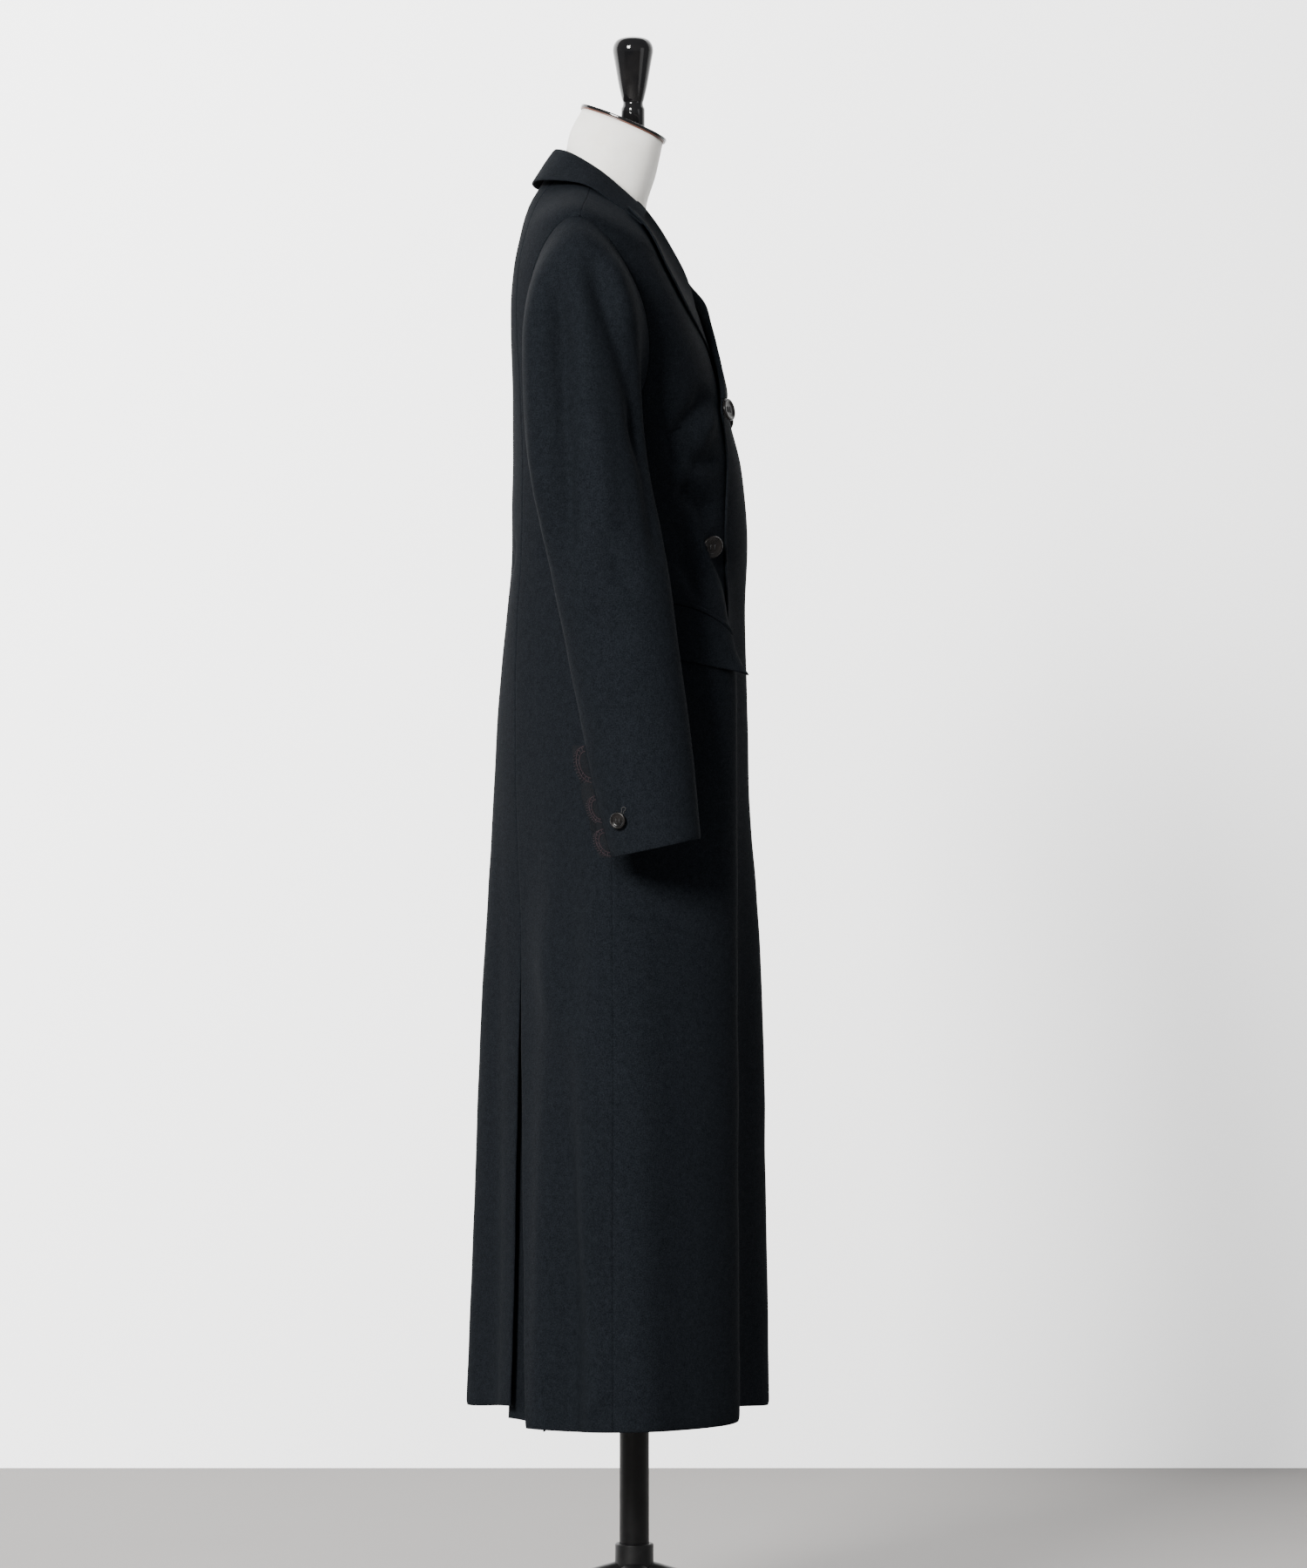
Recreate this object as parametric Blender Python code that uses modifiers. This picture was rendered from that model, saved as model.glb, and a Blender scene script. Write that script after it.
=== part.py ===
"""A long double-breasted coat on a limbless dress form, at its real size.

Metres, +Z up. The front faces -Y and the wearer's right is -X. The origin is on the floor, under the pole.
The coat's body is one smooth surface through named seam and fold lines.
Each panel is a wall on a stretch of it.
"""

import math

import bmesh
import bpy
import numpy as np
from mathutils import Vector

# How finely the fronts are faceted: columns up to the lap, and over it
FRONT_COLUMNS, FRONT_LAP_COLUMN = 15, 9

# Cloth and seams
CLOTH = 0.0020          # thickness of the wool
LACE = 0.0010           # thickness of the lace
SEAM = 0.0002           # how far each piece stops short of a seam line
LAYER_GAP = 0.0004      # air between two layers that lie on each other
HEM_HEIGHT = 0.256
PLEAT_TOP = 0.735       # where the inverted pleat opens in the side-back seam
PLEAT_GAP = 0.0006      # air behind the panels
PLEAT_DEPTH = 0.006     # how much deeper the underlay lies at the hem
PLEAT_INTO_BACK, PLEAT_INTO_SIDE = 0.035, 0.040     # the underlay's reach behind each panel, as places across
COAT_TOP = 1.50         # the neck line's place on the height scale of the tables
NECK_TRIM = 0.0005      # the panels stop this far below it
HIP_HEIGHT, CHEST_HEIGHT = 0.93, 1.225      # the facets grow finer above each of these

# Places across the half coat, from centre back to centre front
AT_PRINCESS, AT_SIDE, AT_RIDGE, AT_EDGE, AT_FRONT = 0.2, 0.5, 0.75, 0.875, 1.0

# Seam and fold lines of the coat's body. Columns: height, distance out from the centre plane, y
CENTRE_BACK = (
    (0.256, 0, 0.1655), (0.45, 0, 0.1595), (0.62, 0, 0.155), (0.747, 0, 0.150), (0.886, 0, 0.1425),
    (0.985, 0, 0.136), (1.055, 0, 0.130), (1.125, 0, 0.124), (1.20, 0, 0.1235), (1.27, 0, 0.124),
    (1.36, 0, 0.1245), (1.405, 0, 0.122), (1.44, 0, 0.1165), (1.47, 0, 0.1075), (1.50, 0, 0.088),
)
PRINCESS = (
    (0.747, 0.088, 0.114), (0.886, 0.088, 0.1182), (0.985, 0.085, 0.1185), (1.055, 0.082, 0.1165),
    (1.125, 0.080, 0.1125), (1.20, 0.080, 0.112), (1.27, 0.085, 0.1135), (1.36, 0.095, 0.1175),
    (1.405, 0.100, 0.1145), (1.44, 0.100, 0.107), (1.47, 0.076, 0.097), (1.50, 0.042, 0.079),
)
PLEAT_BACK = ((0.256, 0.095, 0.125), (0.45, 0.093, 0.1203), (0.62, 0.0905, 0.1165)) + PRINCESS
PLEAT_SIDE = ((0.256, 0.200, 0.1045), (0.45, 0.152, 0.110), (0.62, 0.112, 0.1125)) + PRINCESS
SIDE_SEAM = (
    (0.256, 0.2665, 0.0194), (0.45, 0.248, 0.020), (0.62, 0.230, 0.020), (0.747, 0.2155, 0.021),
    (0.886, 0.199, 0.022), (0.985, 0.184, 0.024), (1.055, 0.1725, 0.027), (1.125, 0.166, 0.030),
    (1.20, 0.171, 0.033), (1.27, 0.182, 0.036), (1.36, 0.193, 0.045), (1.405, 0.198, 0.050),
    (1.44, 0.200, 0.052), (1.47, 0.135, 0.046), (1.50, 0.072, 0.042),
)
FRONT_RIDGE = (
    (0.256, 0.165, -0.104), (0.45, 0.155, -0.1035), (0.62, 0.146, -0.103), (0.747, 0.139, -0.1025),
    (0.886, 0.130, -0.1025), (0.985, 0.124, -0.102), (1.055, 0.120, -0.090), (1.125, 0.118, -0.057),
    (1.20, 0.128, -0.064), (1.27, 0.137, -0.058), (1.36, 0.142, -0.037), (1.405, 0.148, -0.022),
    (1.44, 0.152, -0.008), (1.47, 0.110, -0.001), (1.50, 0.062, 0.010),
)
FRONT_EDGE = (
    (0.256, 0.085, -0.0955), (0.45, 0.084, -0.096), (0.62, 0.083, -0.096), (0.747, 0.082, -0.096),
    (0.886, 0.081, -0.0955), (0.985, 0.080, -0.0945), (1.055, 0.080, -0.091), (1.125, 0.082, -0.0895),
    (1.20, 0.080, -0.0915), (1.27, 0.080, -0.0835), (1.36, 0.082, -0.058), (1.405, 0.085, -0.043),
    (1.44, 0.088, -0.030), (1.47, 0.066, -0.018), (1.50, 0.040, -0.006),
)
CENTRE_FRONT = (
    (0.256, 0, -0.1345), (0.45, 0, -0.132), (0.62, 0, -0.129), (0.747, 0, -0.123), (0.886, 0, -0.1136),
    (0.985, 0, -0.1116), (1.055, 0, -0.110), (1.125, 0, -0.113), (1.20, 0, -0.1066), (1.27, 0, -0.089),
    (1.36, 0, -0.067), (1.405, 0, -0.058), (1.44, 0, -0.046), (1.47, 0, -0.028), (1.50, 0, -0.012),
)
# Real height of each level where the shoulders slope. Columns: height on the tables' scale, back, side, front
SHOULDER_LEVELS = (
    (0.256, 0.256, 0.256, 0.256), (1.27, 1.27, 1.27, 1.27), (1.36, 1.36, 1.36, 1.347),
    (1.405, 1.405, 1.405, 1.372), (1.44, 1.437, 1.443, 1.395), (1.47, 1.470, 1.470, 1.425),
    (1.50, 1.504, 1.490, 1.448),
)

# Closure
BREAK_HEIGHT = 1.262    # where the lapels start to turn back
LAP = 0.080             # how far each front passes the centre at the break
OVERLAP_END = 1.44      # above this the left front no longer rides over the right one
ROLL_AT_NECK = 0.066    # the roll line's distance from the centre at the neck
LAPEL_TOP = 1.478
LAPEL_TIP_HEIGHT = 1.467
# Free edge of a lapel. Columns: height, distance out from the centre, negative past the centre
LAPEL_EDGE = (
    (1.262, -0.080), (1.30, 0.000), (1.34, 0.062), (1.375, 0.093), (1.41, 0.105), (1.44, 0.112),
    (1.48, 0.116),
)
LAPEL_LEFT_FOOT = 1.272
LAPEL_RIGHT_FOOT = 1.322    # the right lapel starts here, where the left front no longer hides it
LAPEL_TUCK = 0.015          # how far the right lapel reaches in under the left front
LAPEL_GAP = 0.0009
LAPEL_STAND_OFF, LAPEL_STAND_OFF_RISE = 0.0025, 0.06    # reached this far above the break
LAPEL_ROLL = 0.009      # how far the roll stands forward at the top of the lapel
LAPEL_ROLL_SHARE = 0.55             # share of the lapel's width that the roll takes up
LAPEL_FREE_FROM, LAPEL_FREE_BY = 1.345, 1.41    # where the right lapel's edge comes free of the left front
LAPEL_ROLLS_FROM, LAPEL_ROLLS_BY = 1.39, 1.45   # where its roll does
LAP_RISE_OUT, LAP_RISE_IN = 0.130, 0.090        # the left front rises over the right one between these
LAP_RISE_HEIGHT, LAPEL_RISE_HEIGHT = 0.045, 0.030   # and eases off over these, at its top and at the lapel
LAPEL_FOOT_CLEARANCE = 0.004

# Armhole, on the tables' height scale
ARMHOLE_FOOT, ARMHOLE_TOP = 1.235, 1.44
ARMHOLE_TO_BACK, ARMHOLE_TO_FRONT = 0.061, 0.057
ARMHOLE_GAP, UNDERARM_GAP = 0.0024, 0.0050  # the sleeve stops short, to clear the armhole edge's flat facets

# Sleeve sections. Columns: place along the sleeve, out, y, z of the middle, half depth,
# rise of the back edge, and how far the outer edge lies out of and above the middle
SLEEVE = (
    (0.15, 0.214, 0.0510, 1.312, 0.0585, 0.000, 0.036, 0.088),
    (0.33, 0.226, 0.0445, 1.205, 0.0585, 0.000, 0.045, 0.012),
    (0.48, 0.233, 0.0264, 1.107, 0.0580, 0.000, 0.044, 0.004),
    (0.65, 0.240, 0.0080, 1.003, 0.0540, -0.003, 0.042, 0.000),
    (0.83, 0.247, -0.0085, 0.900, 0.0500, -0.006, 0.040, 0.000),
    (1.00, 0.253, -0.0225, 0.824, 0.0437, -0.0094, 0.037, 0.000),
)
HINDARM, FOREARM = 0.0, 0.54    # seams, as turns round the sleeve from its back edge over the outside
SLEEVE_LENGTH, SLEEVE_ROUND = 0.62, 0.35    # about, to turn gaps into shares
MITRE = 0.08                    # share of the sleeve over which its wall turns to meet the armhole's

# Pocket, as places across the front panel and heights
FLAP_BACK, FLAP_FRONT = 0.615, 0.745
FLAP_TOP_BACK, FLAP_TOP_FRONT = 1.062, 1.028
FLAP_FOOT_BACK, FLAP_FOOT_FRONT = 1.0065, 0.989
FLAP_CORNER_LIFT = 0.006
FLAP_STAND_OFF = 0.0012     # at its lower edge
FLAP_TOP_BEND = 1.7         # how late the top line drops
WELT_HEIGHT, WELT_GAP = 0.006, 0.0004

# Collar stations. Columns: stand foot (out, y, z), fold (out, y, z), free edge (out, y, z)
COLLAR = (
    (0.000, 0.0878, 1.5046, 0.000, 0.0780, 1.536, 0.000, 0.1045, 1.495),
    (0.042, 0.0787, 1.4978, 0.042, 0.0600, 1.528, 0.062, 0.0935, 1.494),
    (0.070, 0.0420, 1.4910, 0.067, 0.0330, 1.506, 0.104, 0.0519, 1.489),
    (0.068, 0.0120, 1.4740, 0.070, 0.0110, 1.486, 0.112, 0.0235, 1.475),
    (0.053, -0.0170, 1.4465, 0.058, -0.0140, 1.465, 0.106, -0.0105, 1.4500),
)
COLLAR_CROWN = 0.25     # how far the arc is carried past the fold, so that its middle reaches it
COLLAR_FULL = 1.35      # how full the arc is

# Buttons and lace
FRONT_BUTTON_RADIUS, FRONT_BUTTON_DEPTH = 0.0115, 0.0040
CUFF_BUTTON_RADIUS, CUFF_BUTTON_DEPTH = 0.0082, 0.0032
BUTTON_SHANK_RADIUS, BUTTON_SHANK = 0.0025, 0.0024
# How far each button's shank stands off the panel's smooth face, to clear its flat facets
UPPER_SEAT, LOWER_RIGHT_SEAT, LOWER_LEFT_SEAT, CUFF_SEAT = 0.0003, 0.0023, 0.0013, 0.0004
UPPER_BUTTON_OUT, UPPER_BUTTON_HEIGHT = 0.070, 1.2594
LOWER_BUTTON_OUT, LOWER_BUTTON_HEIGHT = 0.100, 1.120
CUFF_BUTTON_TURN, CUFF_BUTTON_ALONG = 0.140, 0.926
SLEEVE_ROWS, LACE_ROWS = 15, 3
LACE_REACH, LACE_GAP = 0.014, 0.0006

# Dress form. Columns: height, back, side and front levels, half width, y at the side, back y, front y
TORSO_BELOW = (
    (0.80, 0.80, 0.80, 0.80, 0.150, 0.020, 0.105, -0.070),
    (0.86, 0.86, 0.86, 0.86, 0.160, 0.020, 0.112, -0.080),
    (0.95, 0.95, 0.95, 0.95, 0.156, 0.020, 0.110, -0.080),
    (1.04, 1.04, 1.04, 1.04, 0.132, 0.016, 0.097, -0.072),
    (1.115, 1.115, 1.115, 1.115, 0.116, 0.012, 0.088, -0.064),
    (1.19, 1.19, 1.19, 1.19, 0.124, 0.016, 0.096, -0.068),
    (1.27, 1.27, 1.27, 1.27, 0.142, 0.026, 0.108, -0.068),
)
NECK = (
    (1.53, 1.520, 1.503, 1.470, 0.055, 0.036, 0.0710, -0.0120),
    (1.56, 1.545, 1.528, 1.505, 0.052, 0.028, 0.066, -0.022),
    (1.59, 1.571, 1.554, 1.537, 0.043, 0.012, 0.053, -0.029),
)
SHOULDERS_FROM = 1.36   # from here up the torso follows the coat's own shape, a little inside it
# How far the torso lies inside the coat's outer face. Columns: height, depth
TORSO_INSET = (
    (0.80, 0.0), (1.27, 0.0), (1.36, 0.012), (1.405, 0.014), (1.44, 0.012), (1.47, 0.006), (1.50, 0.008),
    (1.53, 0.0), (1.60, 0.0),
)
# Heights of the torso's rings above its tables' lower part
TORSO_LEVELS = (
    1.315, 1.36, 1.405, 1.425, 1.44, 1.455, 1.47, 1.485, 1.50, 1.515, 1.53, 1.545, 1.56, 1.575, 1.59,
)
TORSO_FULLNESS = 2.3
POLE_RADIUS, POLE_FOOT, POLE_TOP = 0.015, 0.060, 0.845
SOCKET_CLEARANCE = 0.0003
CAP_DEPTH, CAP_OVERHANG = 0.004, 0.0025
CAP_GAP, CAP_MEAN_RADIUS = 0.0003, 0.042
FINIAL_TOP, FINIAL_Y = 1.645, 0.0013
FINIAL_SPARE = 0.012    # turned past the cap's slanting top, then cut off
# Finial, from its top down. Columns: radius, depth below the top
FINIAL = (
    (0, 0), (0.009, 0.0006), (0.0165, 0.003), (0.0200, 0.0085), (0.0208, 0.014), (0.0198, 0.020),
    (0.0180, 0.030), (0.0145, 0.050), (0.0112, 0.064), (0.0100, 0.067), (0.0104, 0.070), (0.0120, 0.073),
)
HUB_RADIUS, HUB_FOOT, HUB_TOP = 0.0195, 0.045, 0.115
HUB_TOP_CHAMFER, HUB_FOOT_CHAMFER = 0.001, 0.004
LEG_CROWN = 0.004       # how far a leg's top falls off to its edges
LEG_REACH = 0.300
# Leg sections. Columns: distance from the pole, underside, top, half width
LEG = (
    (0.0198, 0.056, 0.096, 0.0130),
    (0.0900, 0.044, 0.076, 0.0120),
    (0.1700, 0.026, 0.054, 0.0115),
    (0.2400, 0.010, 0.036, 0.0120),
    (0.2600, 0.000, 0.030, 0.0140),
    (0.3000, 0.000, 0.018, 0.0140),
)

RIGHT, LEFT = -1, 1


def eased(knots, values, x):
    """A smooth curve through the points that never swings past them."""
    gaps = np.diff(knots)
    slopes = np.diff(values) / gaps
    tangents = np.zeros(len(knots))
    tangents[0], tangents[-1] = slopes[0], slopes[-1]
    before, after = slopes[:-1], slopes[1:]
    same_way = before * after > 0
    total = np.where(same_way, before + after, 1.0)
    tangents[1:-1] = np.where(same_way, 2 * before * after / total, 0.0)
    return hermite(knots, gaps, values, tangents, x)


def flowing(knots, values, x):
    """A smooth curve through the points whose slope at each follows its two neighbours."""
    gaps = np.diff(knots)
    slopes = np.diff(values, axis=0) / gaps[:, None]
    tangents = np.empty_like(values)
    tangents[0], tangents[-1] = slopes[0], slopes[-1]
    mix = (slopes[:-1] * gaps[1:, None] + slopes[1:] * gaps[:-1, None]) / (gaps[1:] + gaps[:-1])[:, None]
    tangents[1:-1] = mix
    columns = [hermite(knots, gaps, values[:, i], tangents[:, i], x) for i in range(values.shape[1])]
    return np.stack(columns, 1)


def hermite(knots, gaps, values, tangents, x):
    i = np.clip(np.searchsorted(knots, x, side="right") - 1, 0, len(gaps) - 1)
    u = (x - knots[i]) / gaps[i]
    rise = values[i + 1] - values[i]
    start, end = tangents[i] * gaps[i], tangents[i + 1] * gaps[i]
    return values[i] + u * (start + u * (3 * rise - 2 * start - end + u * (start + end - 2 * rise)))


def smooth_step(low, high, x):
    u = np.clip((x - low) / (high - low), 0, 1)
    return u * u * (3 - 2 * u)


def line_point(surface, name, height):
    """(out, y, z) of a named line at these heights."""
    rows = surface[name]
    return np.stack([eased(rows[:, 0], rows[:, column], height) for column in (1, 2, 3)], 1)


def mirrored(points):
    return points * (-1, 1, 1)


def spline_stretch(before, start, end, after, u):
    """The stretch from start to end of a curve through four points, at the share u of it."""
    spans = [np.linalg.norm(b - a, axis=1, keepdims=True) + 1e-9
             for a, b in ((before, start), (start, end), (end, after))]
    steps = [(start - before) / spans[0], (end - start) / spans[1], (after - end) / spans[2]]
    first = (steps[0] * spans[1] + steps[1] * spans[0]) / (spans[0] + spans[1]) * spans[1]
    last = (steps[1] * spans[2] + steps[2] * spans[1]) / (spans[1] + spans[2]) * spans[1]
    u = u[:, None]
    rise = end - start
    return start + u * (first + u * (3 * rise - 2 * first - last + u * (first + last - 2 * rise)))


def half_point(surface, across, height, centre_panel=False):
    """(out, y, z) on the half surface. Places below 0 or over 1 lie past the centre, on the other half."""
    across, height = np.broadcast_arrays(np.asarray(across, float), np.asarray(height, float))
    inside = np.where(across > AT_FRONT, 2 * AT_FRONT - across, np.abs(across))
    names = ("centre_back", "pleat_back", "pleat_side", "side_seam", "front_ridge", "front_edge", "centre_front")
    line = {name: line_point(surface, name, height) for name in names}
    if centre_panel:
        points = spline_stretch(mirrored(line["pleat_back"]), line["centre_back"], line["pleat_back"],
                                line["side_seam"], inside / AT_PRINCESS)
    else:
        run = [line["centre_back"], line["pleat_side"], line["side_seam"], line["front_ridge"],
               line["front_edge"], line["centre_front"], mirrored(line["front_edge"])]
        places = np.array((AT_PRINCESS, AT_SIDE, AT_RIDGE, AT_EDGE, AT_FRONT))
        stretch = np.clip(np.searchsorted(places, inside, side="right") - 1, 0, 3)
        points = np.empty((len(height), 3))
        for i in range(4):
            here = stretch == i
            ends = [line[here] for line in run[i:i + 4]]
            points[here] = spline_stretch(*ends, (inside[here] - places[i]) / (places[i + 1] - places[i]))
    past = (across > AT_FRONT) | (across < 0)
    return np.where(past[:, None], mirrored(points), points)


def raised(surface, side, across, height, lift, centre_panel=False):
    """Points of the surface on the right or left side, moved out along its normal."""
    def at(a, h):
        return half_point(surface, a, h, centre_panel) * (side, 1, 1)

    step = 1e-4
    along = at(across + step, height) - at(across - step, height)
    up = at(across, height + step) - at(across, height - step)
    normal = np.cross(along, up) * -side
    normal /= np.linalg.norm(normal, axis=1, keepdims=True)
    return at(across, height) + normal * np.asarray(lift, float).reshape(-1, 1)


def find(target, low, high, value):
    """Where a falling function reaches the target, by halving."""
    low, high = low.copy(), high.copy()
    for _ in range(32):
        middle = (low + high) / 2
        above = value(middle) > target
        low, high = np.where(above, middle, low), np.where(above, high, middle)
    return (low + high) / 2


def table(rows):
    return np.array(rows, float)


def levelled(rows, back_share, side_share, hem_lift=0.0):
    """Adds the real height to a line's rows, from its share of the back, side and front levels."""
    rows, levels = table(rows), table(SHOULDER_LEVELS)
    back, side, front = (eased(levels[:, 0], levels[:, column], rows[:, 0]) for column in (1, 2, 3))
    z = back_share * back + side_share * side + (1 - back_share - side_share) * front
    z[0] += hem_lift
    return np.column_stack([rows, z])


COAT = {
    "centre_back": levelled(CENTRE_BACK, 1, 0),
    "pleat_back": levelled(PLEAT_BACK, 0.5, 0.5, hem_lift=0.008),
    "pleat_side": levelled(PLEAT_SIDE, 0.5, 0.5, hem_lift=-0.003),
    "side_seam": levelled(SIDE_SEAM, 0, 1),
    "front_ridge": levelled(FRONT_RIDGE, 0, 0.55),
    "front_edge": levelled(FRONT_EDGE, 0, 0.25, hem_lift=0.005),
    "centre_front": levelled(CENTRE_FRONT, 0, 0),
}


def form_surface():
    """The dress form's lines: its own waist, hips and neck, and the coat's shoulders."""
    turns = {"centre_back": 0.0, "pleat_back": 0.28, "pleat_side": 0.28, "side_seam": 1.0,
             "front_ridge": 1.55, "front_edge": 1.76, "centre_front": 2.0}
    surface = {}
    power = 2 / TORSO_FULLNESS
    for name, turn in turns.items():
        angle = turn * math.pi / 2
        outward, along = max(math.sin(angle), 0) ** power, abs(math.cos(angle)) ** power

        def oval(row):
            height, back_z, side_z, front_z, half_width, y_side, back, front = row
            reach, reach_z = (back, back_z) if turn < 1 else (front, front_z)
            y, z = y_side + (reach - y_side) * along, side_z + (reach_z - side_z) * along
            return height, half_width * outward, y, z

        shoulders = [row for row in COAT[name] if row[0] >= SHOULDERS_FROM]
        surface[name] = table([oval(r) for r in TORSO_BELOW] + shoulders + [oval(r) for r in NECK])
    return surface


def armhole_place(height, to_back):
    """Place across the panel of the armhole's edge, at the side seam below and above the armhole."""
    middle = (ARMHOLE_FOOT + ARMHOLE_TOP) / 2
    share = np.clip((height - middle) / (ARMHOLE_TOP - middle), -1, 1)
    bow = np.sqrt(1 - share ** 2)
    seam_y = half_point(COAT, np.full_like(height, AT_SIDE), height)[:, 1]
    reach = ARMHOLE_TO_BACK if to_back else -ARMHOLE_TO_FRONT
    low = np.full_like(height, AT_PRINCESS if to_back else AT_SIDE)
    high = np.full_like(height, AT_SIDE if to_back else AT_RIDGE)
    return find(seam_y + reach * bow, low, high, lambda a: half_point(COAT, a, height)[:, 1])


def roll_out(height):
    """The roll line's distance out from the centre, negative where it has crossed to the other side."""
    share = (height - BREAK_HEIGHT) / (COAT_TOP - BREAK_HEIGHT)
    return -LAP + (ROLL_AT_NECK + LAP) * np.clip(share, 0, 1)


def place_at_out(height, out):
    """Place across the front where the surface lies this far out from the centre."""
    low, high = np.full_like(height, AT_SIDE), np.full_like(height, 2 * AT_FRONT - AT_EDGE)
    return find(out, low, high, lambda a: half_point(COAT, a, height)[:, 0])


def front_lift(side, across, height):
    """Lift of a front's outer face: the left front rides over the right front and its lapel."""
    if side == RIGHT:
        return np.zeros_like(height)
    out = half_point(COAT, across, height)[:, 0]
    over = smooth_step(LAP_RISE_OUT, LAP_RISE_IN, out)
    over = over * smooth_step(OVERLAP_END, OVERLAP_END - LAP_RISE_HEIGHT, height)
    lapel_from, lapel_by = BREAK_HEIGHT - LAPEL_RISE_HEIGHT, LAPEL_RIGHT_FOOT - LAPEL_FOOT_CLEARANCE
    lapel_under = smooth_step(lapel_from, lapel_by, height)
    return over * (CLOTH + LAYER_GAP + (CLOTH + 2 * LAPEL_GAP) * lapel_under)


def lapel_lift(side, share, height):
    """Lift of a lapel's outer face, from its roll line (share 0) to its free edge (share 1)."""
    up = smooth_step(BREAK_HEIGHT, LAPEL_TOP, height)
    rise = smooth_step(BREAK_HEIGHT, BREAK_HEIGHT + LAPEL_STAND_OFF_RISE, height)
    stand_off = LAPEL_STAND_OFF * share ** 2 * rise
    if side == RIGHT:       # held flat where the left front lies over it
        up = up * smooth_step(LAPEL_ROLLS_FROM, LAPEL_ROLLS_BY, height)
        stand_off = stand_off * smooth_step(LAPEL_FREE_FROM, LAPEL_FREE_BY, height)
    roll = LAPEL_ROLL * up * np.clip(1 - share / LAPEL_ROLL_SHARE, 0, 1) ** 1.5
    return CLOTH + LAPEL_GAP + stand_off + roll


def sleeve_rings():
    """Functions from a turn round the sleeve to a point, and where along the sleeve each lies."""
    middle = (ARMHOLE_FOOT + ARMHOLE_TOP) / 2
    half = (ARMHOLE_TOP - ARMHOLE_FOOT) / 2

    def armhole(turn):
        height = middle + half * np.sin(2 * math.pi * turn)
        behind = np.cos(2 * math.pi * turn) > 0
        place = np.where(behind, armhole_place(height, True), armhole_place(height, False))
        return place, height

    def oval(row):
        def ring(turn):
            around, outward = np.cos(2 * math.pi * turn), np.sin(2 * math.pi * turn)
            _, out, y, z, depth, back_rise, edge_out, edge_up = row
            return np.stack([out + edge_out * outward, y + depth * around,
                             z + back_rise * around + edge_up * outward], 1)
        return ring

    return armhole, [oval(row) for row in SLEEVE], np.array([0.0] + [row[0] for row in SLEEVE])


def sleeve_point(side, turn, along, lift):
    """Points of a sleeve's outer face, moved out along its normal."""
    armhole, ovals, places = sleeve_rings()

    def at(t, a):
        place, height = armhole(t)
        rings = [half_point(COAT, place, height)] + [ring(t) for ring in ovals]
        stack = np.stack(rings, 0).reshape(len(rings), -1)
        gaps = np.diff(places)
        slopes = np.diff(stack, axis=0) / gaps[:, None]
        tangents = np.empty_like(stack)
        tangents[0], tangents[-1] = slopes[0], slopes[-1]
        weight = (gaps[1:] + gaps[:-1])[:, None]
        tangents[1:-1] = (slopes[:-1] * gaps[1:, None] + slopes[1:] * gaps[:-1, None]) / weight
        i = np.clip(np.searchsorted(places, a, side="right") - 1, 0, len(gaps) - 1)
        pick = np.arange(len(t))
        values, ends = stack.reshape(len(rings), -1, 3), tangents.reshape(len(rings), -1, 3)
        u = ((a - places[i]) / gaps[i])[:, None]
        span = gaps[i][:, None]
        first, last = ends[i, pick] * span, ends[i + 1, pick] * span
        rise = values[i + 1, pick] - values[i, pick]
        bend = 3 * rise - 2 * first - last + u * (first + last - 2 * rise)
        return (values[i, pick] + u * (first + u * bend)) * (side, 1, 1)

    step = 1e-4
    inside = np.clip(along, step, 1 - step)
    around = at(turn + step, inside) - at(turn - step, inside)
    down = at(turn, inside + step) - at(turn, inside - step)
    normal = np.cross(around, down) * side
    normal /= np.linalg.norm(normal, axis=1, keepdims=True)
    place, height = armhole(turn)
    seat = half_point(COAT, place, height) * (side, 1, 1)
    body = raised(COAT, side, place, height, np.ones(len(turn))) - seat
    share = smooth_step(0, MITRE, along)[:, None]
    normal = body * (1 - share) + normal * share
    normal /= np.linalg.norm(normal, axis=1, keepdims=True)
    return at(turn, along) + normal * np.asarray(lift, float).reshape(-1, 1)


def material(name, colour, roughness, metallic=0.0):
    made = bpy.data.materials.new(name)
    made.use_nodes = True
    shader = made.node_tree.nodes["Principled BSDF"]
    shader.inputs["Base Color"].default_value = (*colour, 1)
    shader.inputs["Roughness"].default_value = roughness
    shader.inputs["Metallic"].default_value = metallic
    return made


def add_object(name, bm, finish):
    if bm.calc_volume(signed=True) < 0:
        bmesh.ops.reverse_faces(bm, faces=bm.faces[:])
    mesh = bpy.data.meshes.new(name)
    bm.to_mesh(mesh)
    bm.free()
    mesh.shade_smooth()
    mesh.set_sharp_from_angle(angle=math.radians(40))
    mesh.materials.append(finish)
    made = bpy.data.objects.new(name, mesh)
    parts.objects.link(made)
    return made


def wall(name, columns, rows, place, finish, split="FIXED"):
    """A closed wall: a grid with two layers, each corner put where place(u, w, layer) says, layer 1 outside.

    split picks each quad's diagonal, so that two layers that lie on each other can bend along the same lines.
    """
    bm = bmesh.new()
    bmesh.ops.create_grid(bm, x_segments=columns, y_segments=rows, size=0.5)
    top = bmesh.ops.extrude_face_region(bm, geom=bm.faces[:], use_keep_orig=True)
    for item in top["geom"]:
        if isinstance(item, bmesh.types.BMVert):
            item.co.z = 1
    bmesh.ops.recalc_face_normals(bm, faces=bm.faces[:])
    bmesh.ops.triangulate(bm, faces=bm.faces[:], quad_method=split)
    flat = np.array([vert.co[:] for vert in bm.verts])
    points = place(flat[:, 0] + 0.5, flat[:, 1] + 0.5, flat[:, 2])
    for vert, point in zip(bm.verts, points):
        vert.co = point
    return add_object(name, bm, finish)


def evenly(u, low, high):
    return low + (high - low) * u


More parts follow.
